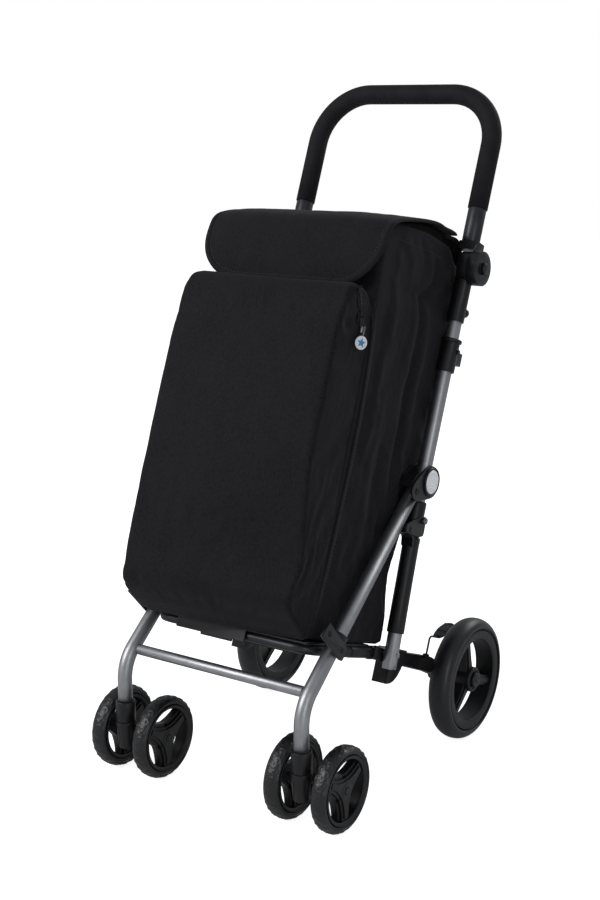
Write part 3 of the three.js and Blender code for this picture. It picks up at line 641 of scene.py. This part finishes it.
# ---------------------------------------------------------------- base and lower legs
LOWER_TILT = math.radians(3.6)
LOWER_HINGE_S = 254
LOWER_UP = (UP * math.cos(LOWER_TILT) + FORE * math.sin(LOWER_TILT)).normalized()


def lower_at(x, s):
    """A point on the axis of a lower leg, which stands a little more upright than the main tubes."""
    return at(x, 0, LOWER_HINGE_S) - LOWER_UP * (LOWER_HINGE_S - s) * MM


LEG_COVER = [(11.3, 33), (12.6, 33), (13.3, 34.2), (13.0, 60), (12.8, 120), (12.8, 164), (13.2, 177),
             (12.2, 179.4), (0.02, 180), (0.02, 165), (11.3, 164.6)]
TONGUE = closed_curve([(-7, 166), (-6, 177), (7, 180), (18, 185), (22, 193), (30, 196), (36.5, 192),
                       (37.5, 186), (33, 181.6), (22, 181.2), (11, 177), (6, 164)], 5)
SNAPS_AT = (48, 66)


def snap_outline(s):
    """A small catch behind the leg cover, which leans off the main tubes' line by 0.063 mm per mm."""
    back = -14 - 0.063 * (80 - s)
    return [(back, s), (back - 5.5, s + 2), (back - 6, s + 9), (back, s + 11)]


for side_name, side in SIDES:
    dress(f"lower_leg_{side_name}", SILVER, 0.5)
    x = side * TUBE_X
    cover = lathe(LEG_COVER, lower_at(x, 0), LOWER_UP, 64)
    tongue = lean_plate(TONGUE, x - 9.8, x + 9.8)
    snaps = [lean_plate(snap_outline(s), x - 3, x + 3) for s in SNAPS_AT]
    solid(f"leg_cover_{side_name}", [cover, tongue, *snaps], PLASTIC, "lower_legs",
          f"lower_cover_{side_name}", bevel=0.5)
    dress(f"knee_pin_{side_name}", STEEL, 0.6)
    dress(f"base_housing_{side_name}", PLASTIC, 1.2)

RAIL_X = 136
RAIL_DROP = 14
RAIL_FRONT = 182
RAIL_BACK = -41.7
rail = [at(-RAIL_X, RAIL_BACK, 0), at(-RAIL_X, RAIL_FRONT, -RAIL_DROP),
        at(RAIL_X, RAIL_FRONT, -RAIL_DROP), at(RAIL_X, RAIL_BACK, 0)]
# The rail is silver tube; it takes the dark charcoal finish here as painted shade, the bag's shadow and dark
# reflections over it.
solid("base_rail", [sweep(bent(rail, 28), 7.5, 32)], CHARCOAL, "base", "base_frame", "silver_tube")
axle_center = Vector((0, REAR["y"], REAR["radius"])) * MM
round_bar("axle_bar", axle_center - RIGHT * 0.207, axle_center + RIGHT * 0.207, 6, SILVER,
          "rear_axle", "silver_tube", "base")


def rail_at(side, n):
    """A point on the axis of the base rail's straight run, which drops towards the front."""
    return at(side * RAIL_X, n, -RAIL_DROP * (n + 42) / 224)


for side_name, side in SIDES:
    sleeves = [rounded_rod(rail_at(side, 12.5), rail_at(side, 72), 8.9, 0.8),
               rounded_rod(rail_at(side, 73), rail_at(side, 128), 8.5, 0.8)]
    solid(f"rail_sleeve_{side_name}", sleeves, PLASTIC, "base")
dress("base_tray", PLASTIC, 1.0)

BRAKE_X = 152
BRAKE_N = -144
BRAKE_LEAF = ((-167, 38.2), (-172, 41), (-178, 46), (-185, 51.5), (-192, 56), (-199, 60), (-205, 63),
              (-208, 64.5))
wire = sweep(bent([at(BRAKE_X, BRAKE_N, 4), at(BRAKE_X, BRAKE_N, 38), at(BRAKE_X, -172, 39)], 6, 1.0),
             1.6, 16)
leaf = sweep([at(BRAKE_X, n, s) for n, s in BRAKE_LEAF],
             lambda f: 3.0 + 8.0 * math.sin(math.pi * min(1.0, 0.12 + 0.84 * f)) ** 0.7, 28, (0.22, 1.0))
root = rounded_rod(at(147.4, BRAKE_N, 6), at(156, BRAKE_N, 6), 4, 0.6)
grips = [sweep([at(BRAKE_X + u, -185 - k * 5, 53.6 + k * 3.1) for u in (-8, 0, 8)], 0.8, 8)
         for k in range(-1, 4)]
solid("brake_lever", [wire, leaf, root, *grips], PLASTIC, "brake", "brake_pedal")

# ---------------------------------------------------------------- handle
HANDLE_N = 2
HANDLE_TOP = 880
for side_name, side in SIDES:
    x = side * TUBE_X
    dress(f"handle_slider_{side_name}", PLASTIC, 0.9)
    dress(f"height_knob_{side_name}", PLASTIC, 0.8)
    dress(f"hub_disc_{side_name}", CHARCOAL, 1.2)
    dress(f"release_button_{side_name}", PLASTIC, 1.0)
    round_bar(f"handle_bar_{side_name}", at(x, HANDLE_N, 640.3), at(x, HANDLE_N, 694), 14, CHARCOAL,
              f"handle_leg_{side_name}", "charcoal_tube", "handle", 0.6)
grip = bent([at(-TUBE_X, HANDLE_N, 694.3), at(-TUBE_X, HANDLE_N, HANDLE_TOP),
             at(TUBE_X, HANDLE_N, HANDLE_TOP), at(TUBE_X, HANDLE_N, 694.3)], 84)
grip_piece = solid("foam_grip", [sweep(grip, 15.5, 48)], FOAM, "handle", "handle_grip", "foam")

# ---------------------------------------------------------------- cloth helpers
def smooth_step(value, low, high):
    f = min(1.0, max(0.0, (value - low) / (high - low)))
    return f * f * (3 - 2 * f)


def through(value, stops):
    """Smooth value along stops, a list of (position, result), with no terraces at them."""
    if value <= stops[0][0]:
        return stops[0][1]
    if value >= stops[-1][0]:
        return stops[-1][1]
    k = next(i for i in range(len(stops) - 1) if value <= stops[i + 1][0])
    (p0, r0), (p1, r1) = stops[k], stops[k + 1]
    width = p1 - p0
    middle = (r1 - r0) / width

    def slope(i, j):
        if i < 0 or j >= len(stops):
            return middle
        other = (stops[j][1] - stops[i][1]) / (stops[j][0] - stops[i][0])
        if other * middle <= 0:
            return 0.0
        return math.copysign(min(abs(other + middle) / 2, 2.5 * abs(other), 2.5 * abs(middle)), middle)

    a, b = slope(k - 1, k), slope(k + 1, k + 2)
    f = (value - p0) / width
    return ((2 * f ** 3 - 3 * f ** 2 + 1) * r0 + (f ** 3 - 2 * f ** 2 + f) * a * width
            + (-2 * f ** 3 + 3 * f ** 2) * r1 + (f ** 3 - f ** 2) * b * width)


def evenly(path, count, parts):
    """count points, one every 1/parts of path, whose length is that of its first two coordinates."""
    lengths = [0.0]
    for p, q in zip(path, path[1:]):
        lengths.append(lengths[-1] + math.hypot(q[0] - p[0], q[1] - p[1]))
    result, j = [], 0
    for i in range(count):
        target = lengths[-1] * i / parts
        while j < len(path) - 2 and lengths[j + 1] < target:
            j += 1
        f = (target - lengths[j]) / max(1e-9, lengths[j + 1] - lengths[j])
        result.append(tuple(a + (b - a) * f for a, b in zip(path[j], path[j + 1])))
    return result, lengths[-1]


def rounded_ring(half, back, front, corner_back, corner_front, count):
    """Points (x, n, outward x, outward n) round a section, evenly spaced, starting at a back corner."""
    corners = ((half, front, corner_front, 0), (-half, front, corner_front, 90),
               (-half, back, corner_back, 180), (half, back, corner_back, 270))
    steps = 12
    path = []
    for x, n, radius, start in corners:
        cx = x - radius * (1 if x > 0 else -1)
        cn = n - radius * (1 if n == front else -1)
        for k in range(steps + 1):
            a = math.radians(start + 90 * k / steps)
            path.append((cx + radius * math.cos(a), cn + radius * math.sin(a), math.cos(a), math.sin(a)))
    last_corner = 3 * (steps + 1)
    path = path[last_corner:] + path[:last_corner]
    return evenly(path + path[:1], count, count)[0]


def round_off(distance, radius):
    """How far a face has turned in at that distance from an edge rounded to radius."""
    if distance >= radius:
        return 0.0
    return radius - math.sqrt(max(0.0, radius ** 2 - (radius - distance) ** 2))


CLOTH_FRAMES = 9
CLOTH_PRESSURE = 0.25


def settle(thing, hold, slack, cap):
    """Lets a cloth shell take up light inner pressure; each point stays within cap (mm) of its place."""
    mesh = thing.data
    start = [v.co.copy() for v in mesh.vertices]
    group = thing.vertex_groups.new(name="held")
    for index, weight in enumerate(hold):
        if weight > 0:
            group.add([index], weight, "REPLACE")
    cloth = thing.modifiers.new("cloth", "CLOTH")
    settings = cloth.settings
    settings.quality = 5
    settings.mass = 0.25
    settings.tension_stiffness = 18
    settings.compression_stiffness = 18
    settings.shear_stiffness = 6
    settings.bending_stiffness = 1.5
    settings.use_pressure = True
    settings.uniform_pressure_force = CLOTH_PRESSURE
    settings.vertex_group_mass = "held"
    settings.shrink_min = -slack
    settings.effector_weights.gravity = 0
    cloth.collision_settings.use_collision = False
    cloth.point_cache.frame_start = 1
    cloth.point_cache.frame_end = CLOTH_FRAMES
    scene = bpy.context.scene
    for frame_number in range(1, CLOTH_FRAMES + 1):
        scene.frame_set(frame_number)
    settled = thing.evaluated_get(bpy.context.evaluated_depsgraph_get()).data
    ends = [v.co.copy() for v in settled.vertices]
    thing.modifiers.remove(cloth)
    thing.vertex_groups.remove(group)
    scene.frame_set(1)
    limit = cap * MM
    for vertex, a, b in zip(mesh.vertices, start, ends):
        shift = b - a
        vertex.co = a + shift / math.sqrt(1 + (shift.length / limit) ** 2)
    mesh.update()


def onto(thing, points, lift=0.4):
    """Points laid on the surface of thing, lift mm proud of it, with its outward direction at each."""
    laid = []
    for point in points:
        _, place, normal, _ = thing.closest_point_on_mesh(point)
        laid.append((place + normal * lift * MM, normal.copy()))
    return laid


def dense(points, step=0.6):
    result = []
    for p, q in zip(points, points[1:]):
        count = max(1, int((q - p).length / MM / step))
        result += [p.lerp(q, k / count) for k in range(count)]
    result.append(points[-1])
    return result


def stitches(name, laid, body, length=3.0, gap=1.8, width=0.5):
    """A row of thread stitches lying on the cloth; laid is a list of (point, outward)."""
    parts = []
    travel, on = 0.0, True
    start = laid[0][0]
    for (p, _), (q, outward) in zip(laid, laid[1:]):
        travel += (q - p).length / MM
        if on and travel >= length:
            direction = (q - start).normalized()
            side = direction.cross(outward).normalized() * width * MM
            high = outward * 0.5 * MM
            middle = (start + q) / 2
            base = [start - side * 0.4, start + side * 0.4, q + side * 0.4, q - side * 0.4,
                    middle - side + high, middle + side + high]
            parts.append((base, [(0, 1, 5, 4), (4, 5, 2, 3), (0, 4, 3), (1, 2, 5)]))
            start, travel, on = q, 0.0, False
        elif not on and travel >= gap:
            start, travel, on = q, 0.0, True
    return piece(name, *merged(*parts), THREAD, body, slot="bag_fabric")


def ribbon(name, laid, width, thickness, body):
    """A flat binding tape lying on the cloth along laid, with softened long edges."""
    profile = [(-0.5, -0.2), (-0.5, 0.4), (-0.42, 1.0), (0, 1.1), (0.42, 1.0), (0.5, 0.4), (0.5, -0.2),
               (0, -0.3)]
    rings = []
    for k, (place, outward) in enumerate(laid):
        before, after = laid[max(0, k - 1)][0], laid[min(len(laid) - 1, k + 1)][0]
        across = (after - before).normalized().cross(outward).normalized()
        rings.append([place + (across * u * width + outward * v * thickness) * MM for u, v in profile])
    return solid(name, [ring_mesh(rings)], BINDING, body, slot="bag_fabric")


def grid(rows):
    """An open sheet of faces over equal rows of points."""
    count = len(rows[0])
    faces = [(a * count + b, a * count + b + 1, (a + 1) * count + b + 1, (a + 1) * count + b)
             for a in range(len(rows) - 1) for b in range(count - 1)]
    return [v for row in rows for v in row], faces


def thicken(thing, name, thickness, offset):
    wall = thing.modifiers.new(name, "SOLIDIFY")
    wall.thickness = thickness
    wall.offset = offset
    return wall


def hump(distance, width):
    return math.exp(-(distance / width) ** 2)


def window(value, rise, fall):
    """Eases up over the range rise and down again over the range fall."""
    return smooth_step(value, *rise) * (1 - smooth_step(value, *fall))


def slack(x, y, z):
    """Broad unevenness of loose cloth, about -1 to 1."""
    return noise.fractal(Vector((x, y, z)), 0.9, 2.0, 3)


# ---------------------------------------------------------------- bag body
BODY_BOTTOM = [(-20, 11.2), (20, 9.2), (89, 5.0), (137, 2.4), (215, 2.6)]
RIM = [(-22, 590), (-4, 599), (13, 606), (25, 616), (40, 621.5), (99, 621), (150, 614), (194, 606),
       (222, 591)]
BODY_BACK = [(10, -19), (45, -13), (80, -3), (112, 5), (160, -2), (230, -15), (300, -19), (370, -22.5),
             (436, -22.5), (450, -18.5), (474, -18.5), (488, -22.5), (570, -22), (610, -10)]
BODY_HALF = [(0, 141), (70, 143), (300, 146), (480, 147), (520, 144.6), (610, 143.4)]
BODY_CORNER = 6
CREASE = [(200, 62), (252, 71), (328, 74), (433, 80), (480, 82), (520, 90), (562, 60), (600, 68)]


def upright_folds(x, n, s):
    """Slack cloth of the side, in mm: two long upright folds, a pinched crease and small ripples."""
    ridge = 3.4 * hump(n - 168 - 4 * math.sin(s / 70), 13) * window(s, (160, 330), (560, 600))
    line = through(s, CREASE)
    crease = (-4.6 * hump(n - line, 6) + 3.0 * hump(n - line + 17, 11)
              + 2.2 * hump(n - line - 18, 10)) * window(s, (180, 330), (575, 605))
    low = 3.2 * hump(n - 118 - s / 14, 12) * window(s, (40, 150), (300, 420))
    low -= 2.6 * hump(n - 92 - s / 12, 8) * window(s, (30, 120), (240, 340))
    pinch = -3.5 * hump(n - 84, 26) * hump(s - 528, 9)
    ripples = 2.0 * slack(x / 60, n / 30, s / 190)
    ripples += 0.6 * noise.fractal(Vector((x / 20, n / 16, s / 45)), 1.0, 2.0, 2)
    return ridge + crease + low + pinch + ripples


def bag_body(around=236, levels=120):
    rings, hold = [], []
    for level in range(levels + 1):
        height = level / levels
        guide = 610 * height
        back = through(guide, BODY_BACK)
        front = 198 + 19 * height
        half = through(guide, BODY_HALF)
        ring = []
        for x, n, ox, on in rounded_ring(half, back, front, 14, 10, around):
            low, top = through(n, BODY_BOTTOM), through(n, RIM)
            s = low + (top - low) * height
            side = ox * ox
            at_front = smooth_step(n, 158, 184)
            inset = round_off(height * 600, BODY_CORNER)
            loose = math.sin(math.pi * min(1.0, 0.04 + height * 0.95)) ** 0.5
            push = upright_folds(x, n, s) * side * loose * (1 - at_front) - 2.5 * side * at_front - inset
            if on < -0.6:
                push += 1.6 * slack(x / 55, 1.0, s / 120) * loose
            ring.append(at(x + ox * push, n + on * push, s))
            held = height < 0.02 or height > 0.975 or on > 0.3 or on < -0.5 or n > 176
            hold.append(1.0 if held else 0.0)
        rings.append(ring)
    vertices, faces = ring_mesh(rings, closed_ends=False)
    hub = len(vertices)
    vertices.append(sum(rings[0], Vector()) / around)
    hold.append(1.0)
    faces += [((i + 1) % around, i, hub) for i in range(around)]
    return vertices, faces, hold


vertices, faces, hold = bag_body()
body_shell = solid("bag_shell", [(vertices, faces)], TWILL, "main_frame", "bag_body", "bag_fabric")
settle(body_shell, hold, 0.010, 2.5)

# Inside the rim a gathered lining cuff closes the bag up to the flap.
CUFF_TOP = [(-6, 622), (20, 637), (50, 639), (82, 638), (110, 633), (145, 624), (178, 613), (205, 600),
           (214, 592)]
CUFF_LOW = 565
CUFF_LEVELS = 24
cuff_rings = []
for level in range(CUFF_LEVELS + 1):
    f = level / CUFF_LEVELS
    ring = []
    for x, n, ox, on in rounded_ring(138.5, -8 + 22 * f, 208, 14, 10, 240):
        s = CUFF_LOW + (through(n, CUFF_TOP) - CUFF_LOW) * f
        gather = (0.9 * math.sin(x / 3.1 + n / 2.7) * f ** 2 - 3.0 * f ** 2
                  + 1.2 * noise.noise(Vector((x / 20, n / 20, s / 30))))
        ring.append(at(x + ox * gather, n + on * gather, s))
    cuff_rings.append(ring)
cuff = solid("bag_cuff", [ring_mesh(cuff_rings, closed_ends=False)], LINING, "main_frame", slot="bag_fabric")
thicken(cuff, "wall", 0.0012, -1)

# The back's upper edge leans forward and runs in under the flap.
YOKE_LINE = [(-22, 582), (-19, 602), (-8, 622), (5, 634.5), (17, 639.5), (32, 638), (46, 635)]
YOKE_HALF = 145
YOKE_COLUMNS = 40
yoke_rows = []
for k in range(YOKE_COLUMNS + 1):
    x = -YOKE_HALF + 2 * YOKE_HALF * k / YOKE_COLUMNS
    yoke_rows.append([at(x, n + 1.2 * noise.noise(Vector((x / 40, n / 20, 2.0))), s) for n, s in YOKE_LINE])
yoke = piece("bag_yoke", *grid(yoke_rows), TWILL, "main_frame", slot="bag_fabric")
smoother = yoke.modifiers.new("smooth", "SUBSURF")
smoother.levels = smoother.render_levels = 2
thicken(yoke, "thickness", 0.0035, 0)

# ---------------------------------------------------------------- front pocket
POCKET_TOP = 499
POCKET_HALF = 141.5
POCKET_SEAM = [(-12, 199), (58, 191), (160, 188), (231, 188), (346, 192), (417, 200), (452, 206), (478, 217),
               (492, 234), (499, 247)]
LEFT_FRONT = [(-12, 204), (-5, 221), (5, 247), (14, 263), (24, 275), (35, 283), (55, 286), (77, 288),
              (125, 290), (400, 292.5), (440, 290), (464, 287), (484, 280), (493, 273), (499, 264)]
RIGHT_FRONT = [(0, 202), (8, 217), (18, 232), (33, 254), (50, 268), (96, 259), (160, 271), (205, 283),
               (300, 291), (400, 289), (440, 286), (464, 282), (484, 276), (493, 269), (499, 260)]


def pocket(around=264, levels=116):
    """The front pocket: its back follows the seam and its front a deeper line on each side."""
    rings, hold = [], []
    for level in range(levels + 1):
        f = level / levels
        f = f - 0.045 * math.sin(TAU * f)
        guide = -3 + (POCKET_TOP + 3) * f
        seam = through(guide, POCKET_SEAM)
        middle = (through(guide, LEFT_FRONT) + through(guide, RIGHT_FRONT)) / 2
        inset = max(round_off(guide + 3, 9) * 0.9, round_off(POCKET_TOP - guide, 9))
        corner = min(7.5, (middle - seam) * 0.4)
        ring = []
        for x, n, ox, on in rounded_ring(POCKET_HALF - inset, seam, middle, 1.0, corner, around):
            low = -10 + 9 * (x + POCKET_HALF) / (2 * POCKET_HALF)
            dip = 2.5 * hump(x - 10, 90) * smooth_step(f, 0.86, 1.0)
            s = low + (POCKET_TOP - dip - low) * f
            share = (n - seam) / (middle - seam)
            across = (x + POCKET_HALF) / (2 * POCKET_HALF)
            left, right = through(s, LEFT_FRONT), through(s, RIGHT_FRONT)
            front = left + (right - left) * smooth_step(across, -0.1, 1.05)
            belly = 5.0 * math.sin(math.pi * f) ** 0.6 * math.cos((across - 0.5) * math.pi) ** 1.2
            forward = max(0.0, on) * (belly + 1.7 * slack(x / 85, 3.0, s / 150))
            gusset = 1.3 * slack(x / 90, n / 24, s / 90)
            pinch = -4.0 * hump(s - 437, 11) * hump(n - 268, 9) if x > 100 else 0.0
            outward = ox * (gusset * min(1.0, share * 3) + 1.6 * math.sin(math.pi * f) * share * 0.6 + pinch)
            ring.append(at(x + outward, seam + share * (front - seam) + forward * share, s))
            near_seam = share < 0.14
            hold.append(1.0 if near_seam or f > 0.985 or f < 0.01 else 0.35 if f > 0.94 or f < 0.05 else 0.0)
        rings.append(ring)
    vertices, faces = ring_mesh(rings)
    return vertices, faces, hold + [1.0, 1.0]


vertices, faces, hold = pocket()
pocket_shell = solid("pocket_shell", [(vertices, faces)], TWILL, "main_frame", "bag_pocket", "bag_fabric")
settle(pocket_shell, hold, 0.006, 2.0)

# ---------------------------------------------------------------- flap
FLAP_PATH = [(20, 645.5), (50, 648), (82, 648), (110, 643.5), (145, 634.5), (178, 624.5), (205, 613.5),
             (223, 601), (232.5, 584), (237, 560), (239.5, 530), (239, 497)]
FLAP_SHIFT = -4
FLAP_CORNER = 74
FLAP_ROWS = 110
FLAP_COLUMNS = 96


def spline(points, count):
    """Evenly spaced points on a smooth curve through the given ones, and its length."""
    steps = 20
    last = len(points) - 1
    fine = []
    for i in range(last):
        near = (points[max(0, i - 1)], points[i], points[i + 1], points[min(last, i + 2)])
        fine += [curve_between(*near, k / steps) for k in range(steps)]
    return evenly(fine + [points[-1]], count, count - 1)


flap_route, FLAP_LENGTH = spline(FLAP_PATH, FLAP_ROWS)
FLAP_WIDTHS = [(0, 144.5), (40, 148), (90, 151.5), (200, 156.5), (FLAP_LENGTH, 158.5)]


def flap_half(travel):
    return through(travel, FLAP_WIDTHS) - round_off(FLAP_LENGTH - travel, FLAP_CORNER)


def flap_point(travel, u):
    """The flap's middle surface: travel mm from the hinge along its length, u from -1 to 1 across."""
    place = travel / FLAP_LENGTH * (FLAP_ROWS - 1)
    i = min(FLAP_ROWS - 2, int(place))
    (n0, s0), (n1, s1) = flap_route[i], flap_route[i + 1]
    n, s = n0 + (n1 - n0) * (place - i), s0 + (s1 - s0) * (place - i)
    along = Vector((n1 - n0, s1 - s0)).normalized()
    out_n, out_s = -along.y, along.x
    half = flap_half(travel)
    hang = smooth_step(travel, 150, FLAP_LENGTH)
    curl = -7.0 * abs(u) ** 5 * (1 - 0.75 * hang) * smooth_step(travel, 0, 50)
    ripple = (1.6 * noise.fractal(Vector((u * 2.1, travel / 110, 4.0)), 0.9, 2.0, 3)
              + 1.4 * math.sin(u * 5.0 + 0.6) * hang * abs(u)) * smooth_step(travel, 0, 60)
    lift = curl + ripple
    flare = -3.0 * hump(s - 600, 22) if u < 0 else 0.0
    x = FLAP_SHIFT * smooth_step(travel, 40, 160) + u * half - u * flare
    return at(x, n + out_n * lift, s + out_s * lift)


def flap_edge(inset):
    """The flap's outline, inset mm in from the cut edge, from the rear right corner to the rear left."""
    reach = FLAP_LENGTH - inset
    right, left = [], []
    for k in range(121):
        travel = 6 + (reach - 6) * (1 - (1 - k / 120) ** 2)
        half = through(travel, FLAP_WIDTHS) - inset - round_off(reach - travel, FLAP_CORNER - inset)
        right.append(flap_point(travel, half / flap_half(travel)))
        left.append(flap_point(travel, -half / flap_half(travel)))
    half = through(reach, FLAP_WIDTHS) - FLAP_CORNER
    width = flap_half(reach)
    front = [flap_point(reach, half / width * (1 - 2 * k / 60)) for k in range(1, 60)]
    return right + front + list(reversed(left))


flap_rows = []
for i in range(FLAP_ROWS):
    travel = FLAP_LENGTH * (1 - (1 - i / (FLAP_ROWS - 1)) ** 1.5)
    flap_rows.append([flap_point(travel, -1 + 2 * j / FLAP_COLUMNS) for j in range(FLAP_COLUMNS + 1)])
flap_shell = solid("flap_shell", [grid(flap_rows)], TWILL, "bag_flap", "bag_flap", "bag_fabric")
flap_rim = onto(flap_shell, dense(flap_edge(4.2), 3.0), 0.0)
flap_row = onto(flap_shell, dense(flap_edge(9.5)), 1.5)
if flap_rim[len(flap_rim) // 2][1].dot(FORE) < 0:
    flap_rim = [(p, -n) for p, n in flap_rim]
    flap_row = [(p + n * -3.0 * MM, -n) for p, n in flap_row]
flap_binding = solid("flap_binding", [sweep(flap_edge(1.0), 2.2, 12)], BINDING, "bag_flap", slot="bag_fabric")
flap_band = ribbon("flap_band", [(p + n * 1.3 * MM, n) for p, n in flap_rim], 7.0, 1.3, "bag_flap")
flap_stitches = stitches("flap_stitches", flap_row, "bag_flap")
thicken(flap_shell, "thickness", 0.003, 0)

# ---------------------------------------------------------------- seams and zip
SEAM_X = 143.5
squashed = [body_shell, pocket_shell, yoke, cuff]
for side_name, side in SIDES:
    welt_line = dense([at(side * SEAM_X, through(s, POCKET_SEAM) - 1.0, s) for s in range(-2, 486, 6)], 2.0)
    welt_laid = onto(body_shell, welt_line, 0.2)
    squashed.append(ribbon(f"pocket_welt_{side_name}", welt_laid, 9.0, 1.6, "main_frame"))
    for row, offset, lift in (("near", 6.0, 0.5), ("far", -2.5, 2.0)):
        line = dense([at(side * SEAM_X, through(s, POCKET_SEAM) - 1.0 - offset, s) for s in range(2, 480, 6)])
        row_laid = onto(body_shell, line, lift)
        squashed.append(stitches(f"pocket_stitches_{side_name}_{row}", row_laid, "main_frame"))
    hem = dense([at(side * 146, n, 593 + 5 * math.sin(n / 40)) for n in range(14, 186, 6)])
    squashed.append(stitches(f"hem_stitches_{side_name}", onto(body_shell, hem, 0.3), "main_frame"))

ZIP_LINE = [(492, 262), (484, 254), (472, 246), (458, 240), (442, 236.5), (428, 235.5), (417, 235)]
BOX_FACES = [(0, 1, 3, 2), (4, 6, 7, 5), (0, 4, 5, 1), (2, 3, 7, 6), (0, 2, 6, 4), (1, 5, 7, 3)]
zip_laid = onto(pocket_shell, dense([at(146, n, s) for s, n in ZIP_LINE], 1.0), 0.2)
squashed.append(ribbon("zip_tape", zip_laid, 15.0, 0.7, "main_frame"))
teeth = []
for k, (place, outward) in enumerate(zip_laid[1:-1]):
    along = (zip_laid[k + 2][0] - zip_laid[k][0]).normalized()
    across = along.cross(outward).normalized()
    hand = 1 if k % 2 else -1
    middle = place + (outward * 1.2 + across * hand * 1.0 + along * (0.25 * hand)) * MM
    corners = [middle + (across * a * 1.5 + along * b * 0.36 + outward * c * 0.6) * MM
               for a in (-1, 1) for b in (-1, 1) for c in (-1, 1)]
    teeth.append((corners, BOX_FACES))
squashed.append(solid("zip_teeth", teeth, PLASTIC, "main_frame"))

# The slider, its pull and the round badge on it slide down together.
slider_place, slider_out = onto(pocket_shell, [at(146, 236, 438)], 3.2)[0]
slider_part = rounded_rod(slider_place - UP * 5 * MM, slider_place + UP * 5 * MM, 3.4, 1.2, 24)
loop_part = sweep([slider_place + (slider_out * (2.5 + 3.2 * math.sin(a)) + UP * 5.0 * math.cos(a)) * MM
                   for a in (math.pi * k / 16 for k in range(17))], 0.9, 12)
badge_center = slider_place - UP * 19 * MM + slider_out * 3.5 * MM
pull_top = slider_place - UP * 3 * MM + slider_out * 4.5 * MM
pull_line = [pull_top.lerp(badge_center + UP * 9 * MM, k / 5) for k in range(6)]
pull_part = sweep(pull_line, 1.7, 16, (0.6, 1.0))
solid("zip_pull", [slider_part, loop_part, pull_part], STEEL, "zip_slider", "zip_slider")

badge_out = Vector((0.89, -0.454, 0.10)).normalized()
badge_across = badge_out.cross(UP).normalized()
badge_up = badge_across.cross(badge_out).normalized()
for name, radius, low, high, edge, material in (("back", 10.6, -1.4, 0.6, 0.5, PLASTIC),
                                                ("face", 9.7, 0.5, 1.5, 0.35, WHITE_ENAMEL)):
    profile = [(0.02, low), (radius - edge, low), (radius, low + edge), (radius, high - edge),
               (radius - edge, high), (0.02, high)]
    solid(f"zip_badge_{name}", [lathe(profile, badge_center, badge_out, 64)], material, "zip_slider")
star = []
for k in range(10):
    reach, turn = (7.0, 3.1)[k % 2], math.radians(90 + 36 * k)
    star.append((reach * math.cos(turn), reach * math.sin(turn)))
star_part = plate(star, 1.4, 1.8,
                  lambda x, u, v: badge_center + (badge_across * u + badge_up * v + badge_out * x) * MM)
solid("zip_badge_star", [star_part], BLUE_ENAMEL, "zip_slider", smooth=False)

# ---------------------------------------------------------------- finish
wall = thicken(body_shell, "wall", 0.0028, -1)
body_shell.data.materials.append(LINING)
wall.material_offset = 1
wall.material_offset_rim = 0
squashed += [flap_shell, flap_binding, flap_band, flap_stitches]
for soft_piece in squashed:
    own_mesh(soft_piece)
